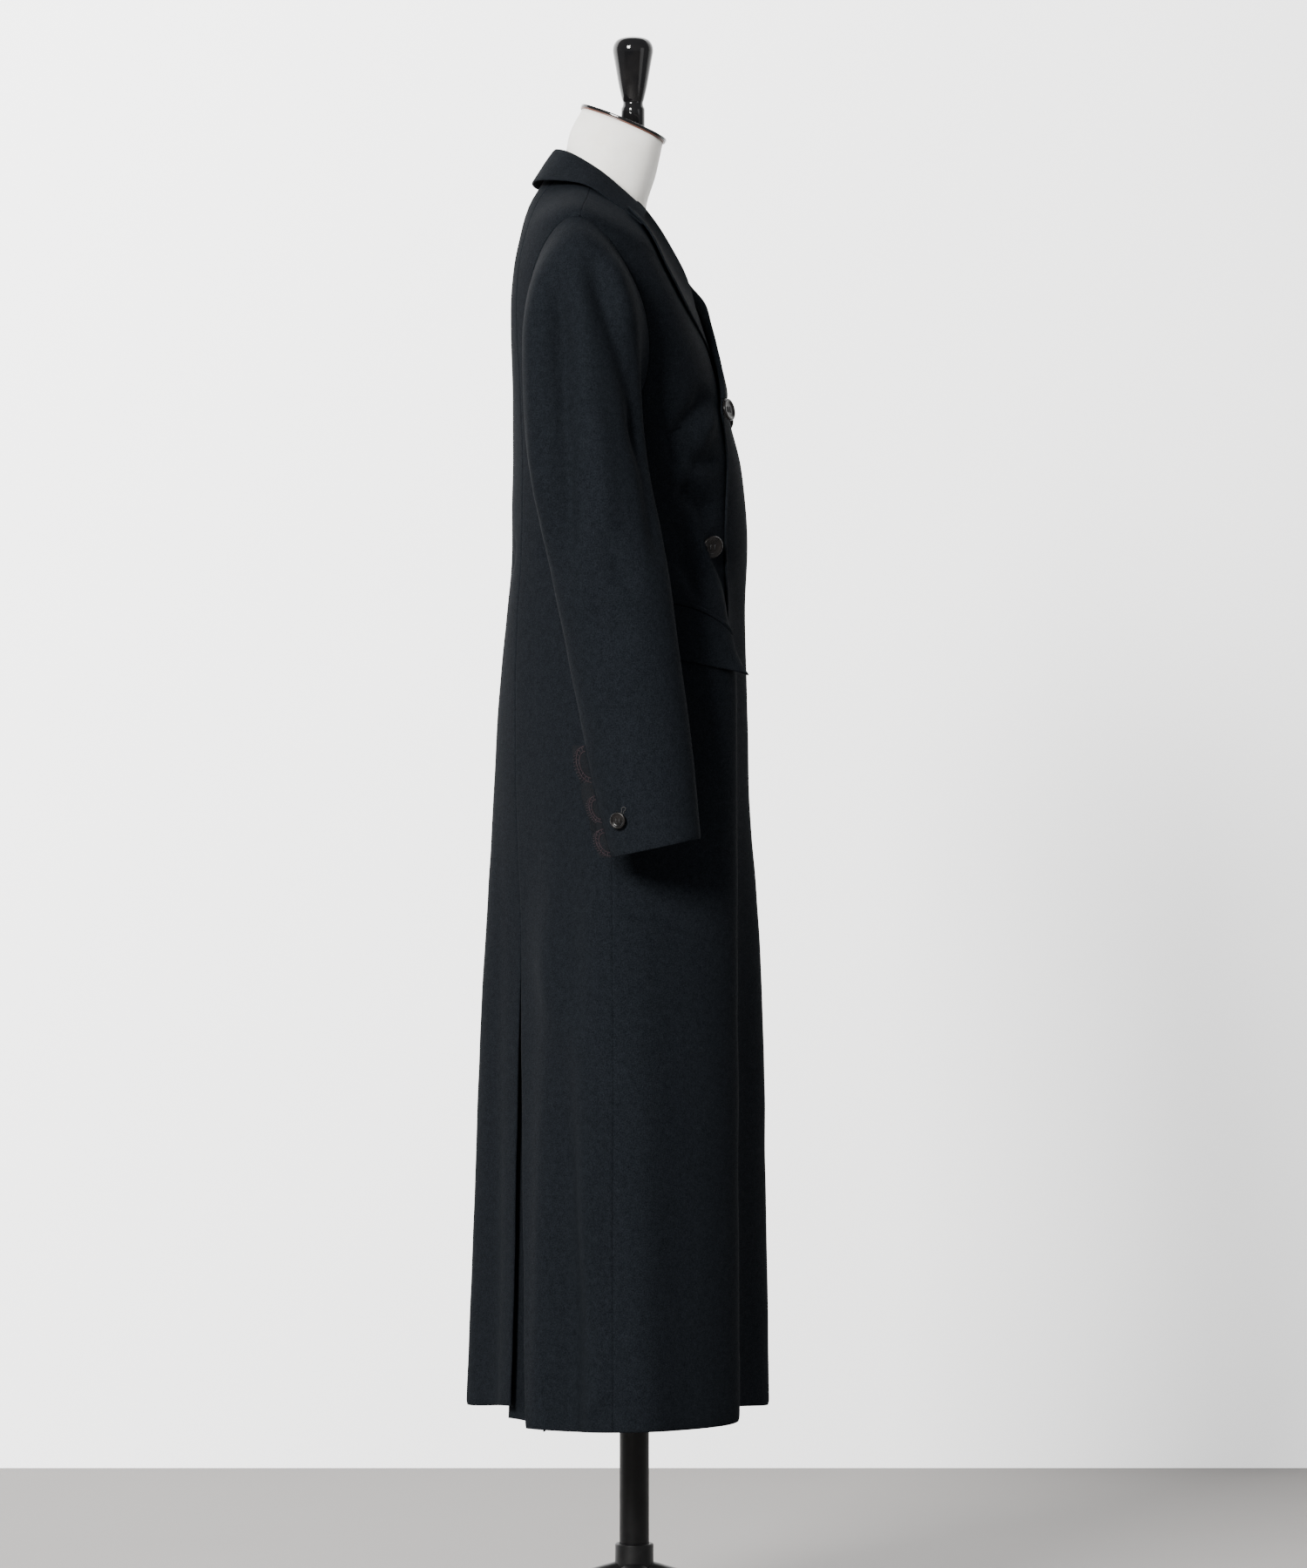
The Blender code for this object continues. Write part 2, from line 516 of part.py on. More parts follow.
def panel(name, side, columns, levels, edges, lift, finish, centre_panel=False, spread=evenly):
    """A body panel between two edge functions of height, with this many rows up to each level in turn."""
    rows = sum(count for count, _ in levels[1:])
    shares = np.cumsum([count for count, _ in levels]) / rows

    def place(u, w, layer):
        height = np.interp(w, shares, [level for _, level in levels])
        low, high = edges(height)

        def pace(at):
            step = 1e-4
            ahead = half_point(COAT, at + step, height, centre_panel)
            behind = half_point(COAT, at - step, height, centre_panel)
            return np.linalg.norm(ahead - behind, axis=1) / (2 * step)

        low, high = low + SEAM / pace(low), high - SEAM / pace(high)
        across = spread(u, low, high)
        out = lift(across, height) - CLOTH * (1 - layer)
        return raised(COAT, side, across, height, out, centre_panel)

    return wall(name, columns, rows, place, finish, "ALTERNATE" if side == LEFT else "FIXED")


def no_lift(across, height):
    return np.zeros_like(height)


def make_body(wool):
    levels = ((0, HEM_HEIGHT), (6, HIP_HEIGHT), (7, CHEST_HEIGHT), (11, COAT_TOP - NECK_TRIM))
    panel("back", RIGHT, 8, levels, lambda h: (np.full_like(h, -AT_PRINCESS), np.full_like(h, AT_PRINCESS)),
          no_lift, wool, centre_panel=True)

    def front_edges(height):
        rolled = place_at_out(height, roll_out(height))
        lapped = np.full_like(height, 2 * AT_FRONT - AT_EDGE)
        free = np.where(height < BREAK_HEIGHT, lapped, np.minimum(rolled, lapped))
        return armhole_place(height, False), free

    def front_spread(u, low, high):
        """Fixed columns up to the lap and over it, so that the two fronts' columns meet in the overlap."""
        bend = FRONT_LAP_COLUMN / FRONT_COLUMNS
        lap = np.minimum(AT_EDGE, low + (high - low) * bend)
        return np.where(u < bend, low + (lap - low) * u / bend, lap + (high - lap) * (u - bend) / (1 - bend))

    for side, word in ((RIGHT, "right"), (LEFT, "left")):
        panel(f"side_back_{word}", side, 6, levels,
              lambda h: (np.full_like(h, AT_PRINCESS), armhole_place(h, True)), no_lift, wool)
        panel(f"front_{word}", side, FRONT_COLUMNS, levels, front_edges,
              lambda a, h, side=side: front_lift(side, a, h), wool, spread=front_spread)


def make_pleats(wool):
    for side, word in ((RIGHT, "right"), (LEFT, "left")):
        def place(u, w, layer):
            height = HEM_HEIGHT + (PLEAT_TOP - HEM_HEIGHT) * w
            depth = -CLOTH - PLEAT_GAP - PLEAT_DEPTH * np.sqrt(1 - w) - CLOTH * (1 - layer)
            back_place = np.full_like(w, AT_PRINCESS - PLEAT_INTO_BACK)
            from_back = raised(COAT, side, back_place, height, depth, centre_panel=True)
            from_side = raised(COAT, side, np.full_like(w, AT_PRINCESS + PLEAT_INTO_SIDE), height, depth)
            return from_back + (from_side - from_back) * u[:, None]

        wall(f"pleat_{word}", 4, 10, place, wool)


def make_lapels(wool):
    for side, word in ((RIGHT, "right"), (LEFT, "left")):
        def place(u, w, layer):
            top = LAPEL_TOP + (LAPEL_TIP_HEIGHT - LAPEL_TOP) * u
            foot = LAPEL_RIGHT_FOOT if side == RIGHT else LAPEL_LEFT_FOOT
            height = foot + (top - foot) * w
            edge = table(LAPEL_EDGE)
            free = eased(edge[:, 0], edge[:, 1], height)
            roll = roll_out(height)
            if side == RIGHT:
                roll = np.maximum(roll, -roll - LAPEL_TUCK)
            across = place_at_out(height, roll + (free - roll) * u)
            under = front_lift(side, across, height)
            lift = under + lapel_lift(side, u, height) - CLOTH * (1 - layer)
            return raised(COAT, side, across, height, lift)

        wall(f"lapel_{word}", 5, 9, place, wool)


def make_collar(wool):
    stations = table(COLLAR)
    last = len(stations) - 1
    spots = np.concatenate([-np.arange(last, 0, -1), np.arange(last + 1)]) / last

    def line(columns):
        half = stations[:, columns]
        return np.concatenate([half[:0:-1] * (-1, 1, 1), half])

    foot, fold, free = (line(slice(i, i + 3)) for i in (0, 3, 6))

    def at(s, w):
        a, b, c = (flowing(spots, values, s) for values in (foot, fold, free))
        w = w[:, None]
        crown = (a + c) / 2
        peak = b + (b - crown) * COLLAR_CROWN
        pull = peak * COLLAR_FULL - crown * (COLLAR_FULL - 1)
        return (1 - w) ** 2 * a + 2 * w * (1 - w) * pull + w ** 2 * c

    def place(u, w, layer):
        s, step = 2 * u - 1, 1e-4
        inside, over = np.clip(s, -1 + step, 1 - step), np.clip(w, step, 1 - step)
        normal = np.cross(at(inside + step, over) - at(inside - step, over),
                          at(inside, over + step) - at(inside, over - step))
        normal /= np.linalg.norm(normal, axis=1, keepdims=True)
        return at(s, w) + normal * (CLOTH * (layer - 1))[:, None]

    wall("collar", 20, 7, place, wool)


def make_sleeves(wool):
    for side, word in ((RIGHT, "right"), (LEFT, "left")):
        for kind, columns, start, end in (("top", 8, HINDARM, FOREARM), ("under", 6, FOREARM, 1 + HINDARM)):
            def place(u, w, layer):
                trim = SEAM / SLEEVE_ROUND
                turn = start + trim + (end - start - 2 * trim) * u
                gap = ARMHOLE_GAP + UNDERARM_GAP * np.clip(-np.sin(2 * math.pi * turn), 0, 1)
                along = gap / SLEEVE_LENGTH + (1 - gap / SLEEVE_LENGTH) * w
                return sleeve_point(side, turn, along, -CLOTH * (1 - layer))

            wall(f"{kind}_sleeve_{word}", columns, SLEEVE_ROWS, place, wool)


def make_pockets(wool):
    for side, word in ((RIGHT, "right"), (LEFT, "left")):
        def base_lift(across, height):
            return front_lift(side, across, height) + LAYER_GAP + CLOTH

        def flap(u, w, layer):
            top = FLAP_TOP_BACK + (FLAP_TOP_FRONT - FLAP_TOP_BACK) * u ** FLAP_TOP_BEND
            foot = FLAP_FOOT_BACK + (FLAP_FOOT_FRONT - FLAP_FOOT_BACK) * u
            height = top + (foot - top) * w
            across = FLAP_BACK + (FLAP_FRONT - FLAP_BACK) * u
            lift = base_lift(across, height) + FLAP_STAND_OFF * w + FLAP_CORNER_LIFT * (u * w) ** 3
            return raised(COAT, side, across, height, lift - CLOTH * (1 - layer))

        def welt(u, w, layer):
            top = FLAP_TOP_BACK + (FLAP_TOP_FRONT - FLAP_TOP_BACK) * u ** FLAP_TOP_BEND
            height = top + WELT_GAP + WELT_HEIGHT * w
            across = FLAP_BACK + (FLAP_FRONT - FLAP_BACK) * u
            return raised(COAT, side, across, height, base_lift(across, height) - CLOTH * (1 - layer))

        wall(f"pocket_flap_{word}", 7, 3, flap, wool)
        wall(f"pocket_welt_{word}", 7, 1, welt, wool)


def make_lace(thread):
    for side, word in ((RIGHT, "right"), (LEFT, "left")):
        def place(u, w, layer):
            along = 1 - (1 - w) * LACE_ROWS / SLEEVE_ROWS
            seat = sleeve_point(side, np.full_like(w, HINDARM), along, np.zeros_like(w))
            seat[:, 0] += side * LACE * (layer - 0.5)
            seat[:, 1] += LACE_GAP + LACE_REACH * u
            return seat

        wall(f"cuff_lace_{word}", 2, LACE_ROWS, place, thread)


def turned(name, profile, finish, steps=24):
    """A turned solid from (radius, height) points, from the top of the axis down the outside to its foot."""
    bm = bmesh.new()
    corners = [bm.verts.new((radius, 0, height)) for radius, height in profile]
    for first, second in zip(corners, corners[1:]):
        bm.edges.new((first, second))
    mesh = bpy.data.meshes.new(name)
    bm.to_mesh(mesh)
    bm.free()
    mesh.materials.append(finish)
    made = bpy.data.objects.new(name, mesh)
    parts.objects.link(made)
    screw = made.modifiers.new("Turn", "SCREW")
    screw.steps = screw.render_steps = steps
    screw.use_merge_vertices = True
    screw.merge_threshold = 1e-5
    screw.use_smooth_shade = True
    return made


def button(name, radius, depth, seat, normal, gap, finish):
    rim, dish = radius * 0.80, radius * 0.62
    made = turned(name, (
        (0, BUTTON_SHANK + depth * 0.62), (dish, BUTTON_SHANK + depth * 0.62), (rim, BUTTON_SHANK + depth),
        (radius * 0.95, BUTTON_SHANK + depth * 0.92), (radius, BUTTON_SHANK + depth * 0.6),
        (radius * 0.92, BUTTON_SHANK + depth * 0.2), (radius * 0.7, BUTTON_SHANK),
        (BUTTON_SHANK_RADIUS, BUTTON_SHANK), (BUTTON_SHANK_RADIUS, 0), (0, 0)), finish, 20)
    made.location = Vector(seat) + Vector(normal) * gap
    made.rotation_mode = "QUATERNION"
    made.rotation_quaternion = Vector(normal).to_track_quat("Z", "Y")
    return made


def make_buttons(horn):
    upper = np.array([UPPER_BUTTON_HEIGHT])
    lower = np.array([LOWER_BUTTON_HEIGHT])
    upper_place = place_at_out(upper, np.array([UPPER_BUTTON_OUT]))
    lower_place = place_at_out(lower, np.array([LOWER_BUTTON_OUT]))
    spots = {
        "button_upper_right": (LEFT, 2 * AT_FRONT - upper_place, upper, UPPER_SEAT),
        "button_upper_left": (LEFT, upper_place, upper, UPPER_SEAT),
        "button_lower_right": (RIGHT, lower_place, lower, LOWER_RIGHT_SEAT),
        "button_lower_left": (LEFT, lower_place, lower, LOWER_LEFT_SEAT),
    }
    for name, (side, across, height, gap) in spots.items():
        lift = front_lift(side, across, height)
        seat = raised(COAT, side, across, height, lift)[0]
        normal = raised(COAT, side, across, height, lift + 1)[0] - seat
        button(name, FRONT_BUTTON_RADIUS, FRONT_BUTTON_DEPTH, seat, normal, gap, horn)
    for side, word in ((RIGHT, "right"), (LEFT, "left")):
        turn, along = np.array([CUFF_BUTTON_TURN]), np.array([CUFF_BUTTON_ALONG])
        seat = sleeve_point(side, turn, along, [0.0])[0]
        normal = sleeve_point(side, turn, along, [1.0])[0] - seat
        button(f"cuff_button_{word}", CUFF_BUTTON_RADIUS, CUFF_BUTTON_DEPTH, seat, normal, CUFF_SEAT, horn)


def torso_ring(form, height, count):
    """Points right round the dress form at one height."""
    turns = np.arange(count) / count * 2
    across = np.where(turns <= 1, turns, 2 - turns)
    inset = table(TORSO_INSET)
    depth = -eased(inset[:, 0], inset[:, 1], np.full(count, height))
    heights = np.full(count, height)
    points = np.empty((count, 3))
    for side, mine in ((RIGHT, turns <= 1), (LEFT, turns > 1)):
        for centre_panel in (True, False):
            here = mine & ((across < AT_PRINCESS) == centre_panel)
            points[here] = raised(form, side, across[here], heights[here], depth[here], centre_panel)
    return points


def make_form(linen, lacquer, iron):
    form = form_surface()
    count = 40
    bm = bmesh.new()

    def ring(points):
        made = bmesh.ops.create_circle(bm, segments=count, radius=1)["verts"]
        for vert, point in zip(made, points):
            vert.co = point
        return list({edge for vert in made for edge in vert.link_edges})

    def round_hole(z):
        angles = np.arange(count) / count * 2 * math.pi
        radius = POLE_RADIUS + SOCKET_CLEARANCE
        return np.stack([-radius * np.sin(angles), radius * np.cos(angles), np.full(count, z)], 1)

    floor = TORSO_BELOW[0][0]
    levels = [row[0] for row in TORSO_BELOW] + list(TORSO_LEVELS)
    loops = [ring(round_hole(POLE_TOP + SOCKET_CLEARANCE)), ring(round_hole(floor))]
    loops += [ring(torso_ring(form, level, count)) for level in levels]
    for first, second in zip(loops, loops[1:]):
        bmesh.ops.bridge_loops(bm, edges=first + second)
    bmesh.ops.edgeloop_fill(bm, edges=loops[0])
    bmesh.ops.edgeloop_fill(bm, edges=loops[-1])
    bmesh.ops.recalc_face_normals(bm, faces=bm.faces[:])
    add_object("torso", bm, linen)

    # The cap lies on the slanting top of the neck
    rim = torso_ring(form, NECK[-1][0], count)
    middle = rim.mean(axis=0)
    slant = np.cross(rim[count // 4] - rim[3 * count // 4], rim[0] - rim[count // 2])
    slant *= np.sign(slant[2]) / np.linalg.norm(slant)
    bm = bmesh.new()
    spread = middle + (rim - middle) * (1 + CAP_OVERHANG / CAP_MEAN_RADIUS)
    lower = ring(spread + slant * CAP_GAP)
    upper = ring(spread + slant * (CAP_GAP + CAP_DEPTH))
    bmesh.ops.bridge_loops(bm, edges=lower + upper)
    bmesh.ops.edgeloop_fill(bm, edges=lower)
    bmesh.ops.edgeloop_fill(bm, edges=upper)
    bmesh.ops.recalc_face_normals(bm, faces=bm.faces[:])
    add_object("neck_cap", bm, lacquer)
    make_finial(middle + slant * (2 * CAP_GAP + CAP_DEPTH), slant, lacquer)
    make_stand(iron)


def make_finial(seat, slant, lacquer):
    """Turned finial, cut off square to the slanting cap at its foot."""
    foot = seat[2] - FINIAL_SPARE
    profile = [(radius, FINIAL_TOP - depth) for radius, depth in FINIAL] + [(FINIAL[-1][0], foot), (0, foot)]
    made = turned("finial", profile, lacquer)
    made.location = (0, FINIAL_Y, 0)
    bpy.context.view_layer.update()
    graph = bpy.context.evaluated_depsgraph_get()
    mesh = bpy.data.meshes.new_from_object(made.evaluated_get(graph))
    mesh.transform(made.matrix_world)
    bpy.data.objects.remove(made)
    bm = bmesh.new()
    bm.from_mesh(mesh)
    bpy.data.meshes.remove(mesh)
    bmesh.ops.remove_doubles(bm, verts=bm.verts[:], dist=1e-6)
    geometry = bm.verts[:] + bm.edges[:] + bm.faces[:]
    cut = bmesh.ops.bisect_plane(bm, geom=geometry, plane_co=seat, plane_no=slant, clear_inner=True)
    edges = [item for item in cut["geom_cut"] if isinstance(item, bmesh.types.BMEdge)]
    bmesh.ops.edgeloop_fill(bm, edges=edges)
    bmesh.ops.recalc_face_normals(bm, faces=bm.faces[:])
    add_object("finial", bm, lacquer)


def make_stand(iron):
    turned("pole", ((0, POLE_TOP), (POLE_RADIUS, POLE_TOP), (POLE_RADIUS, POLE_FOOT), (0, POLE_FOOT)), iron)
    bore, foot = POLE_RADIUS + SOCKET_CLEARANCE, POLE_FOOT - SOCKET_CLEARANCE
    turned("base_hub", (
        (0, foot), (bore, foot), (bore, HUB_TOP), (HUB_RADIUS - HUB_TOP_CHAMFER, HUB_TOP),
        (HUB_RADIUS, HUB_TOP - HUB_TOP_CHAMFER), (HUB_RADIUS, HUB_FOOT + HUB_FOOT_CHAMFER),
        (HUB_RADIUS - HUB_FOOT_CHAMFER, HUB_FOOT), (0, HUB_FOOT)), iron)
    for word, turn in (("front", 0), ("right", 1), ("back", 2), ("left", 3)):
        angle = -turn * math.pi / 2

        def place(u, w, layer):
            legs = table(LEG)
            reach = LEG[0][0] + (LEG_REACH - LEG[0][0]) * w
            low, high, half = (eased(legs[:, 0], legs[:, column], reach) for column in (1, 2, 3))
            sideways = (u - 0.5) * 2 * half
            z = np.where(layer > 0.5, high - LEG_CROWN * np.abs(2 * u - 1) ** 3, low)
            x = sideways * math.cos(angle) + reach * math.sin(angle)
            y = sideways * math.sin(angle) - reach * math.cos(angle)
            hollow = HUB_RADIUS - np.sqrt(np.maximum(HUB_RADIUS ** 2 - sideways ** 2, 0))
            inward = np.where(w < 1e-6, hollow, 0)
            return np.stack([x - inward * math.sin(angle), y + inward * math.cos(angle), z], 1)

        wall(f"base_leg_{word}", 6, 14, place, iron)


for old in list(bpy.data.objects):
    bpy.data.objects.remove(old)
parts = bpy.data.collections.new("double_breasted_coat")
bpy.context.scene.collection.children.link(parts)

navy_wool = material("navy wool", (0.012, 0.013, 0.018), 0.95)
plum_lace = material("plum lace", (0.035, 0.022, 0.026), 0.9)
dark_horn = material("dark horn", (0.02, 0.017, 0.015), 0.3)
cream_linen = material("cream linen", (0.72, 0.68, 0.60), 0.9)
black_lacquer = material("black lacquer", (0.01, 0.01, 0.011), 0.12)
black_iron = material("black iron", (0.015, 0.015, 0.016), 0.45, 0.6)

make_body(navy_wool)
make_pleats(navy_wool)
make_lapels(navy_wool)
make_collar(navy_wool)
make_sleeves(navy_wool)
make_pockets(navy_wool)
make_lace(plum_lace)
make_buttons(dark_horn)
make_form(cream_linen, black_lacquer, black_iron)
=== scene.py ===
import math

import bmesh
import bpy
import numpy as np
from mathutils import Matrix, Vector, noise


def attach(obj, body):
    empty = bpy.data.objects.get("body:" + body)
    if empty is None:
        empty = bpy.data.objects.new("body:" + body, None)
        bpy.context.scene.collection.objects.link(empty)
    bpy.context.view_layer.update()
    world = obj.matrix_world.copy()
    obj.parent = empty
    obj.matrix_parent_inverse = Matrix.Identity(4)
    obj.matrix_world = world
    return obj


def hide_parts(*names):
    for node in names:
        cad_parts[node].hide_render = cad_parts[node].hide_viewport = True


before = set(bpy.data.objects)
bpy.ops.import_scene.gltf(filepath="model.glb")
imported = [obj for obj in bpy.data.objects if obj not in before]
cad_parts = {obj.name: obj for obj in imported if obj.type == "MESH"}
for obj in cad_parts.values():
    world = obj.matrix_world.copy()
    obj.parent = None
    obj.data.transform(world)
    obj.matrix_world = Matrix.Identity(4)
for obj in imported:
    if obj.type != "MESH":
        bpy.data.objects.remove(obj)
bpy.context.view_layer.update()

# the floor is at z = 0, the coat's front to -Y and the wearer's right to -X
right, left = -1, 1
tinyStep = 1e-4  # for slopes
sharpFrom = math.radians(50)
sides = ((right, "right"), (left, "left"))

coat = {
    "cloth": 0.0020, "seam": -0.0001, "layerGap": 0.0004, "turnIn": 0.0006, "turnReach": 0.0034,
    "hemTurnIn": 0.0008, "hemReach": 0.0040, "lip": 0.0010, "lipTurnIn": 0.0024, "lipEnds": (1.06, 1.00),
    "topTrim": 0.0005, "overlapOut": (0.130, 0.090), "overlapFade": 0.045,
    "hem": 0.256, "pleatTop": 0.735, "top": 1.50,
    "breakHeight": 1.262, "lap": 0.080, "overlapEnd": 1.44, "rollAtNeck": 0.066,
    "armFoot": 1.235, "armTop": 1.44, "armToBack": 0.061, "armToFront": 0.057,
}
# places across the half coat, centre back to centre front
atPrincess, atSide, atRidge, atEdge, atFront = 0.2, 0.5, 0.75, 0.875, 1.0

# seam and fold lines: height, out from the centre, y
princess = (
    (0.747, 0.088, 0.114), (0.886, 0.088, 0.1182), (0.985, 0.085, 0.1185), (1.055, 0.082, 0.1165),
    (1.125, 0.080, 0.1125), (1.20, 0.080, 0.112), (1.27, 0.085, 0.1135), (1.36, 0.095, 0.1175),
    (1.405, 0.100, 0.1145), (1.44, 0.100, 0.107), (1.47, 0.076, 0.097), (1.50, 0.042, 0.079),
)
coatRows = {
    "centreBack": (
        (0.256, 0, 0.1655), (0.45, 0, 0.1595), (0.62, 0, 0.155), (0.747, 0, 0.150), (0.886, 0, 0.1425),
        (0.985, 0, 0.136), (1.055, 0, 0.130), (1.125, 0, 0.124), (1.20, 0, 0.1235), (1.27, 0, 0.124),
        (1.36, 0, 0.1245), (1.405, 0, 0.122), (1.44, 0, 0.1165), (1.47, 0, 0.1075), (1.50, 0, 0.088)),
    "pleatBack": ((0.256, 0.095, 0.125), (0.45, 0.093, 0.1203), (0.62, 0.0905, 0.1165)) + princess,
    "pleatSide": ((0.256, 0.200, 0.1045), (0.45, 0.152, 0.110), (0.62, 0.112, 0.1125)) + princess,
    "sideSeam": (
        (0.256, 0.2665, 0.0194), (0.45, 0.248, 0.020), (0.62, 0.230, 0.020), (0.747, 0.2155, 0.021),
        (0.886, 0.199, 0.022), (0.985, 0.184, 0.024), (1.055, 0.1725, 0.027), (1.125, 0.166, 0.030),
        (1.20, 0.171, 0.033), (1.27, 0.182, 0.036), (1.36, 0.193, 0.045), (1.405, 0.198, 0.050),
        (1.44, 0.200, 0.052), (1.47, 0.135, 0.046), (1.50, 0.072, 0.042)),
    "frontRidge": (
        (0.256, 0.165, -0.104), (0.45, 0.155, -0.1035), (0.62, 0.146, -0.103), (0.747, 0.139, -0.1025),
        (0.886, 0.130, -0.1025), (0.985, 0.124, -0.102), (1.055, 0.120, -0.090), (1.125, 0.118, -0.057),
        (1.20, 0.128, -0.064), (1.27, 0.137, -0.058), (1.36, 0.142, -0.037), (1.405, 0.148, -0.022),
        (1.44, 0.152, -0.008), (1.47, 0.110, -0.001), (1.50, 0.062, 0.010)),
    "frontEdge": (
        (0.256, 0.085, -0.0955), (0.45, 0.084, -0.096), (0.62, 0.083, -0.096), (0.747, 0.082, -0.096),
        (0.886, 0.081, -0.0955), (0.985, 0.080, -0.0945), (1.055, 0.080, -0.091), (1.125, 0.082, -0.0895),
        (1.20, 0.080, -0.0915), (1.27, 0.080, -0.0835), (1.36, 0.082, -0.058), (1.405, 0.085, -0.043),
        (1.44, 0.088, -0.030), (1.47, 0.066, -0.018), (1.50, 0.040, -0.006)),
    "centreFront": (
        (0.256, 0, -0.1345), (0.45, 0, -0.132), (0.62, 0, -0.129), (0.747, 0, -0.123), (0.886, 0, -0.1136),
        (0.985, 0, -0.1116), (1.055, 0, -0.110), (1.125, 0, -0.113), (1.20, 0, -0.1066), (1.27, 0, -0.089),
        (1.36, 0, -0.067), (1.405, 0, -0.058), (1.44, 0, -0.046), (1.47, 0, -0.028), (1.50, 0, -0.012)),
}
# share of the back level, share of the side level, lift at the hem
lineLevels = {
    "centreBack": (1, 0, 0), "pleatBack": (0.5, 0.5, 0.008), "pleatSide": (0.5, 0.5, -0.003),
    "sideSeam": (0, 1, 0), "frontRidge": (0, 0.55, 0), "frontEdge": (0, 0.25, 0.005),
    "centreFront": (0, 0, 0),
}
# height in the rows, then the real height at the back, side and front
shoulderLevels = np.array((
    (0.256, 0.256, 0.256, 0.256), (1.27, 1.27, 1.27, 1.27), (1.36, 1.36, 1.36, 1.347),
    (1.405, 1.405, 1.405, 1.372), (1.44, 1.437, 1.443, 1.395), (1.47, 1.470, 1.470, 1.425),
    (1.50, 1.504, 1.490, 1.448)))


def cubic(start, end, first, last, u):  # first and last are the slopes at its ends
    rise = end - start
    return start + u * (first + u * (3 * rise - 2 * first - last + u * (first + last - 2 * rise)))


def hermite(knots, gaps, values, tangents, x):
    i = np.clip(np.searchsorted(knots, x, side="right") - 1, 0, len(gaps) - 1)
    u = (x - knots[i]) / gaps[i]
    return cubic(values[i], values[i + 1], tangents[i] * gaps[i], tangents[i + 1] * gaps[i], u)


def eased(knots, values, x):  # smooth, never swings past its points
    gaps = np.diff(knots)
    slopes = np.diff(values) / gaps
    tangents = np.zeros(len(knots))
    tangents[0], tangents[-1] = slopes[0], slopes[-1]
    before, after = slopes[:-1], slopes[1:]
    sameWay = before * after > 0
    total = np.where(sameWay, before + after, 1.0)
    tangents[1:-1] = np.where(sameWay, 2 * before * after / total, 0.0)
    return hermite(knots, gaps, values, tangents, x)


def flowTangents(gaps, values):
    gaps = gaps.reshape((-1,) + (1,) * (values.ndim - 1))
    slopes = np.diff(values, axis=0) / gaps
    tangents = np.empty_like(values)
    tangents[0], tangents[-1] = slopes[0], slopes[-1]
    tangents[1:-1] = (slopes[:-1] * gaps[1:] + slopes[1:] * gaps[:-1]) / (gaps[1:] + gaps[:-1])
    return tangents


def flowing(knots, values, x):  # smooth, follows its neighbours
    gaps = np.diff(knots)
    tangents = flowTangents(gaps, values)
    columns = range(values.shape[1])
    return np.stack([hermite(knots, gaps, values[:, i], tangents[:, i], x) for i in columns], 1)


def smoothStep(low, high, x):
    u = np.clip((x - low) / (high - low), 0, 1)
    return u * u * (3 - 2 * u)


def levelled(name):
    rows = np.array(coatRows[name], float)
    backShare, sideShare, hemLift = lineLevels[name]
    back, side, front = (eased(shoulderLevels[:, 0], shoulderLevels[:, c], rows[:, 0]) for c in (1, 2, 3))
    z = backShare * back + sideShare * side + (1 - backShare - sideShare) * front
    z[0] += hemLift
    return np.column_stack([rows, z])


coatLines = {name: levelled(name) for name in coatRows}


def linePoint(lines, name, height):
    rows = lines[name]
    return np.stack([eased(rows[:, 0], rows[:, column], height) for column in (1, 2, 3)], 1)


def mirrored(points):
    return points * (-1, 1, 1)


def splineStretch(before, start, end, after, u):
    spans = [np.linalg.norm(b - a, axis=1, keepdims=True) + 1e-9
             for a, b in ((before, start), (start, end), (end, after))]
    steps = [(start - before) / spans[0], (end - start) / spans[1], (after - end) / spans[2]]
    first = (steps[0] * spans[1] + steps[1] * spans[0]) / (spans[0] + spans[1]) * spans[1]
    last = (steps[1] * spans[2] + steps[2] * spans[1]) / (spans[1] + spans[2]) * spans[1]
    return cubic(start, end, first, last, u[:, None])


def halfPoint(lines, across, height, centrePanel=False):
    across, height = np.broadcast_arrays(np.asarray(across, float), np.asarray(height, float))
    inside = np.where(across > atFront, 2 * atFront - across, np.abs(across))
    line = {name: linePoint(lines, name, height) for name in coatRows}
    if centrePanel:
        points = splineStretch(mirrored(line["pleatBack"]), line["centreBack"], line["pleatBack"],
                               line["sideSeam"], inside / atPrincess)
    else:
        names = ("centreBack", "pleatSide", "sideSeam", "frontRidge", "frontEdge", "centreFront")
        run = [line[name] for name in names] + [mirrored(line["frontEdge"])]
        places = np.array((atPrincess, atSide, atRidge, atEdge, atFront))
        stretch = np.clip(np.searchsorted(places, inside, side="right") - 1, 0, 3)
        points = np.empty((len(height), 3))
        for i in range(4):
            here = stretch == i
            ends = [part[here] for part in run[i:i + 4]]
            points[here] = splineStretch(*ends, (inside[here] - places[i]) / (places[i + 1] - places[i]))
    past = (across > atFront) | (across < 0)
    return np.where(past[:, None], mirrored(points), points)


def unit(vectors):
    return vectors / np.linalg.norm(vectors, axis=1, keepdims=True)


def surfaceFrame(lines, side, across, height, centrePanel=False):  # points and their outward normals
    def at(a, h):
        return halfPoint(lines, a, h, centrePanel) * (side, 1, 1)

    along = at(across + tinyStep, height) - at(across - tinyStep, height)
    up = at(across, height + tinyStep) - at(across, height - tinyStep)
    return at(across, height), unit(np.cross(along, up) * -side)


def raised(lines, side, across, height, lift, centrePanel=False):
    base, normal = surfaceFrame(lines, side, across, height, centrePanel)
    return base + normal * np.asarray(lift, float).reshape(-1, 1)


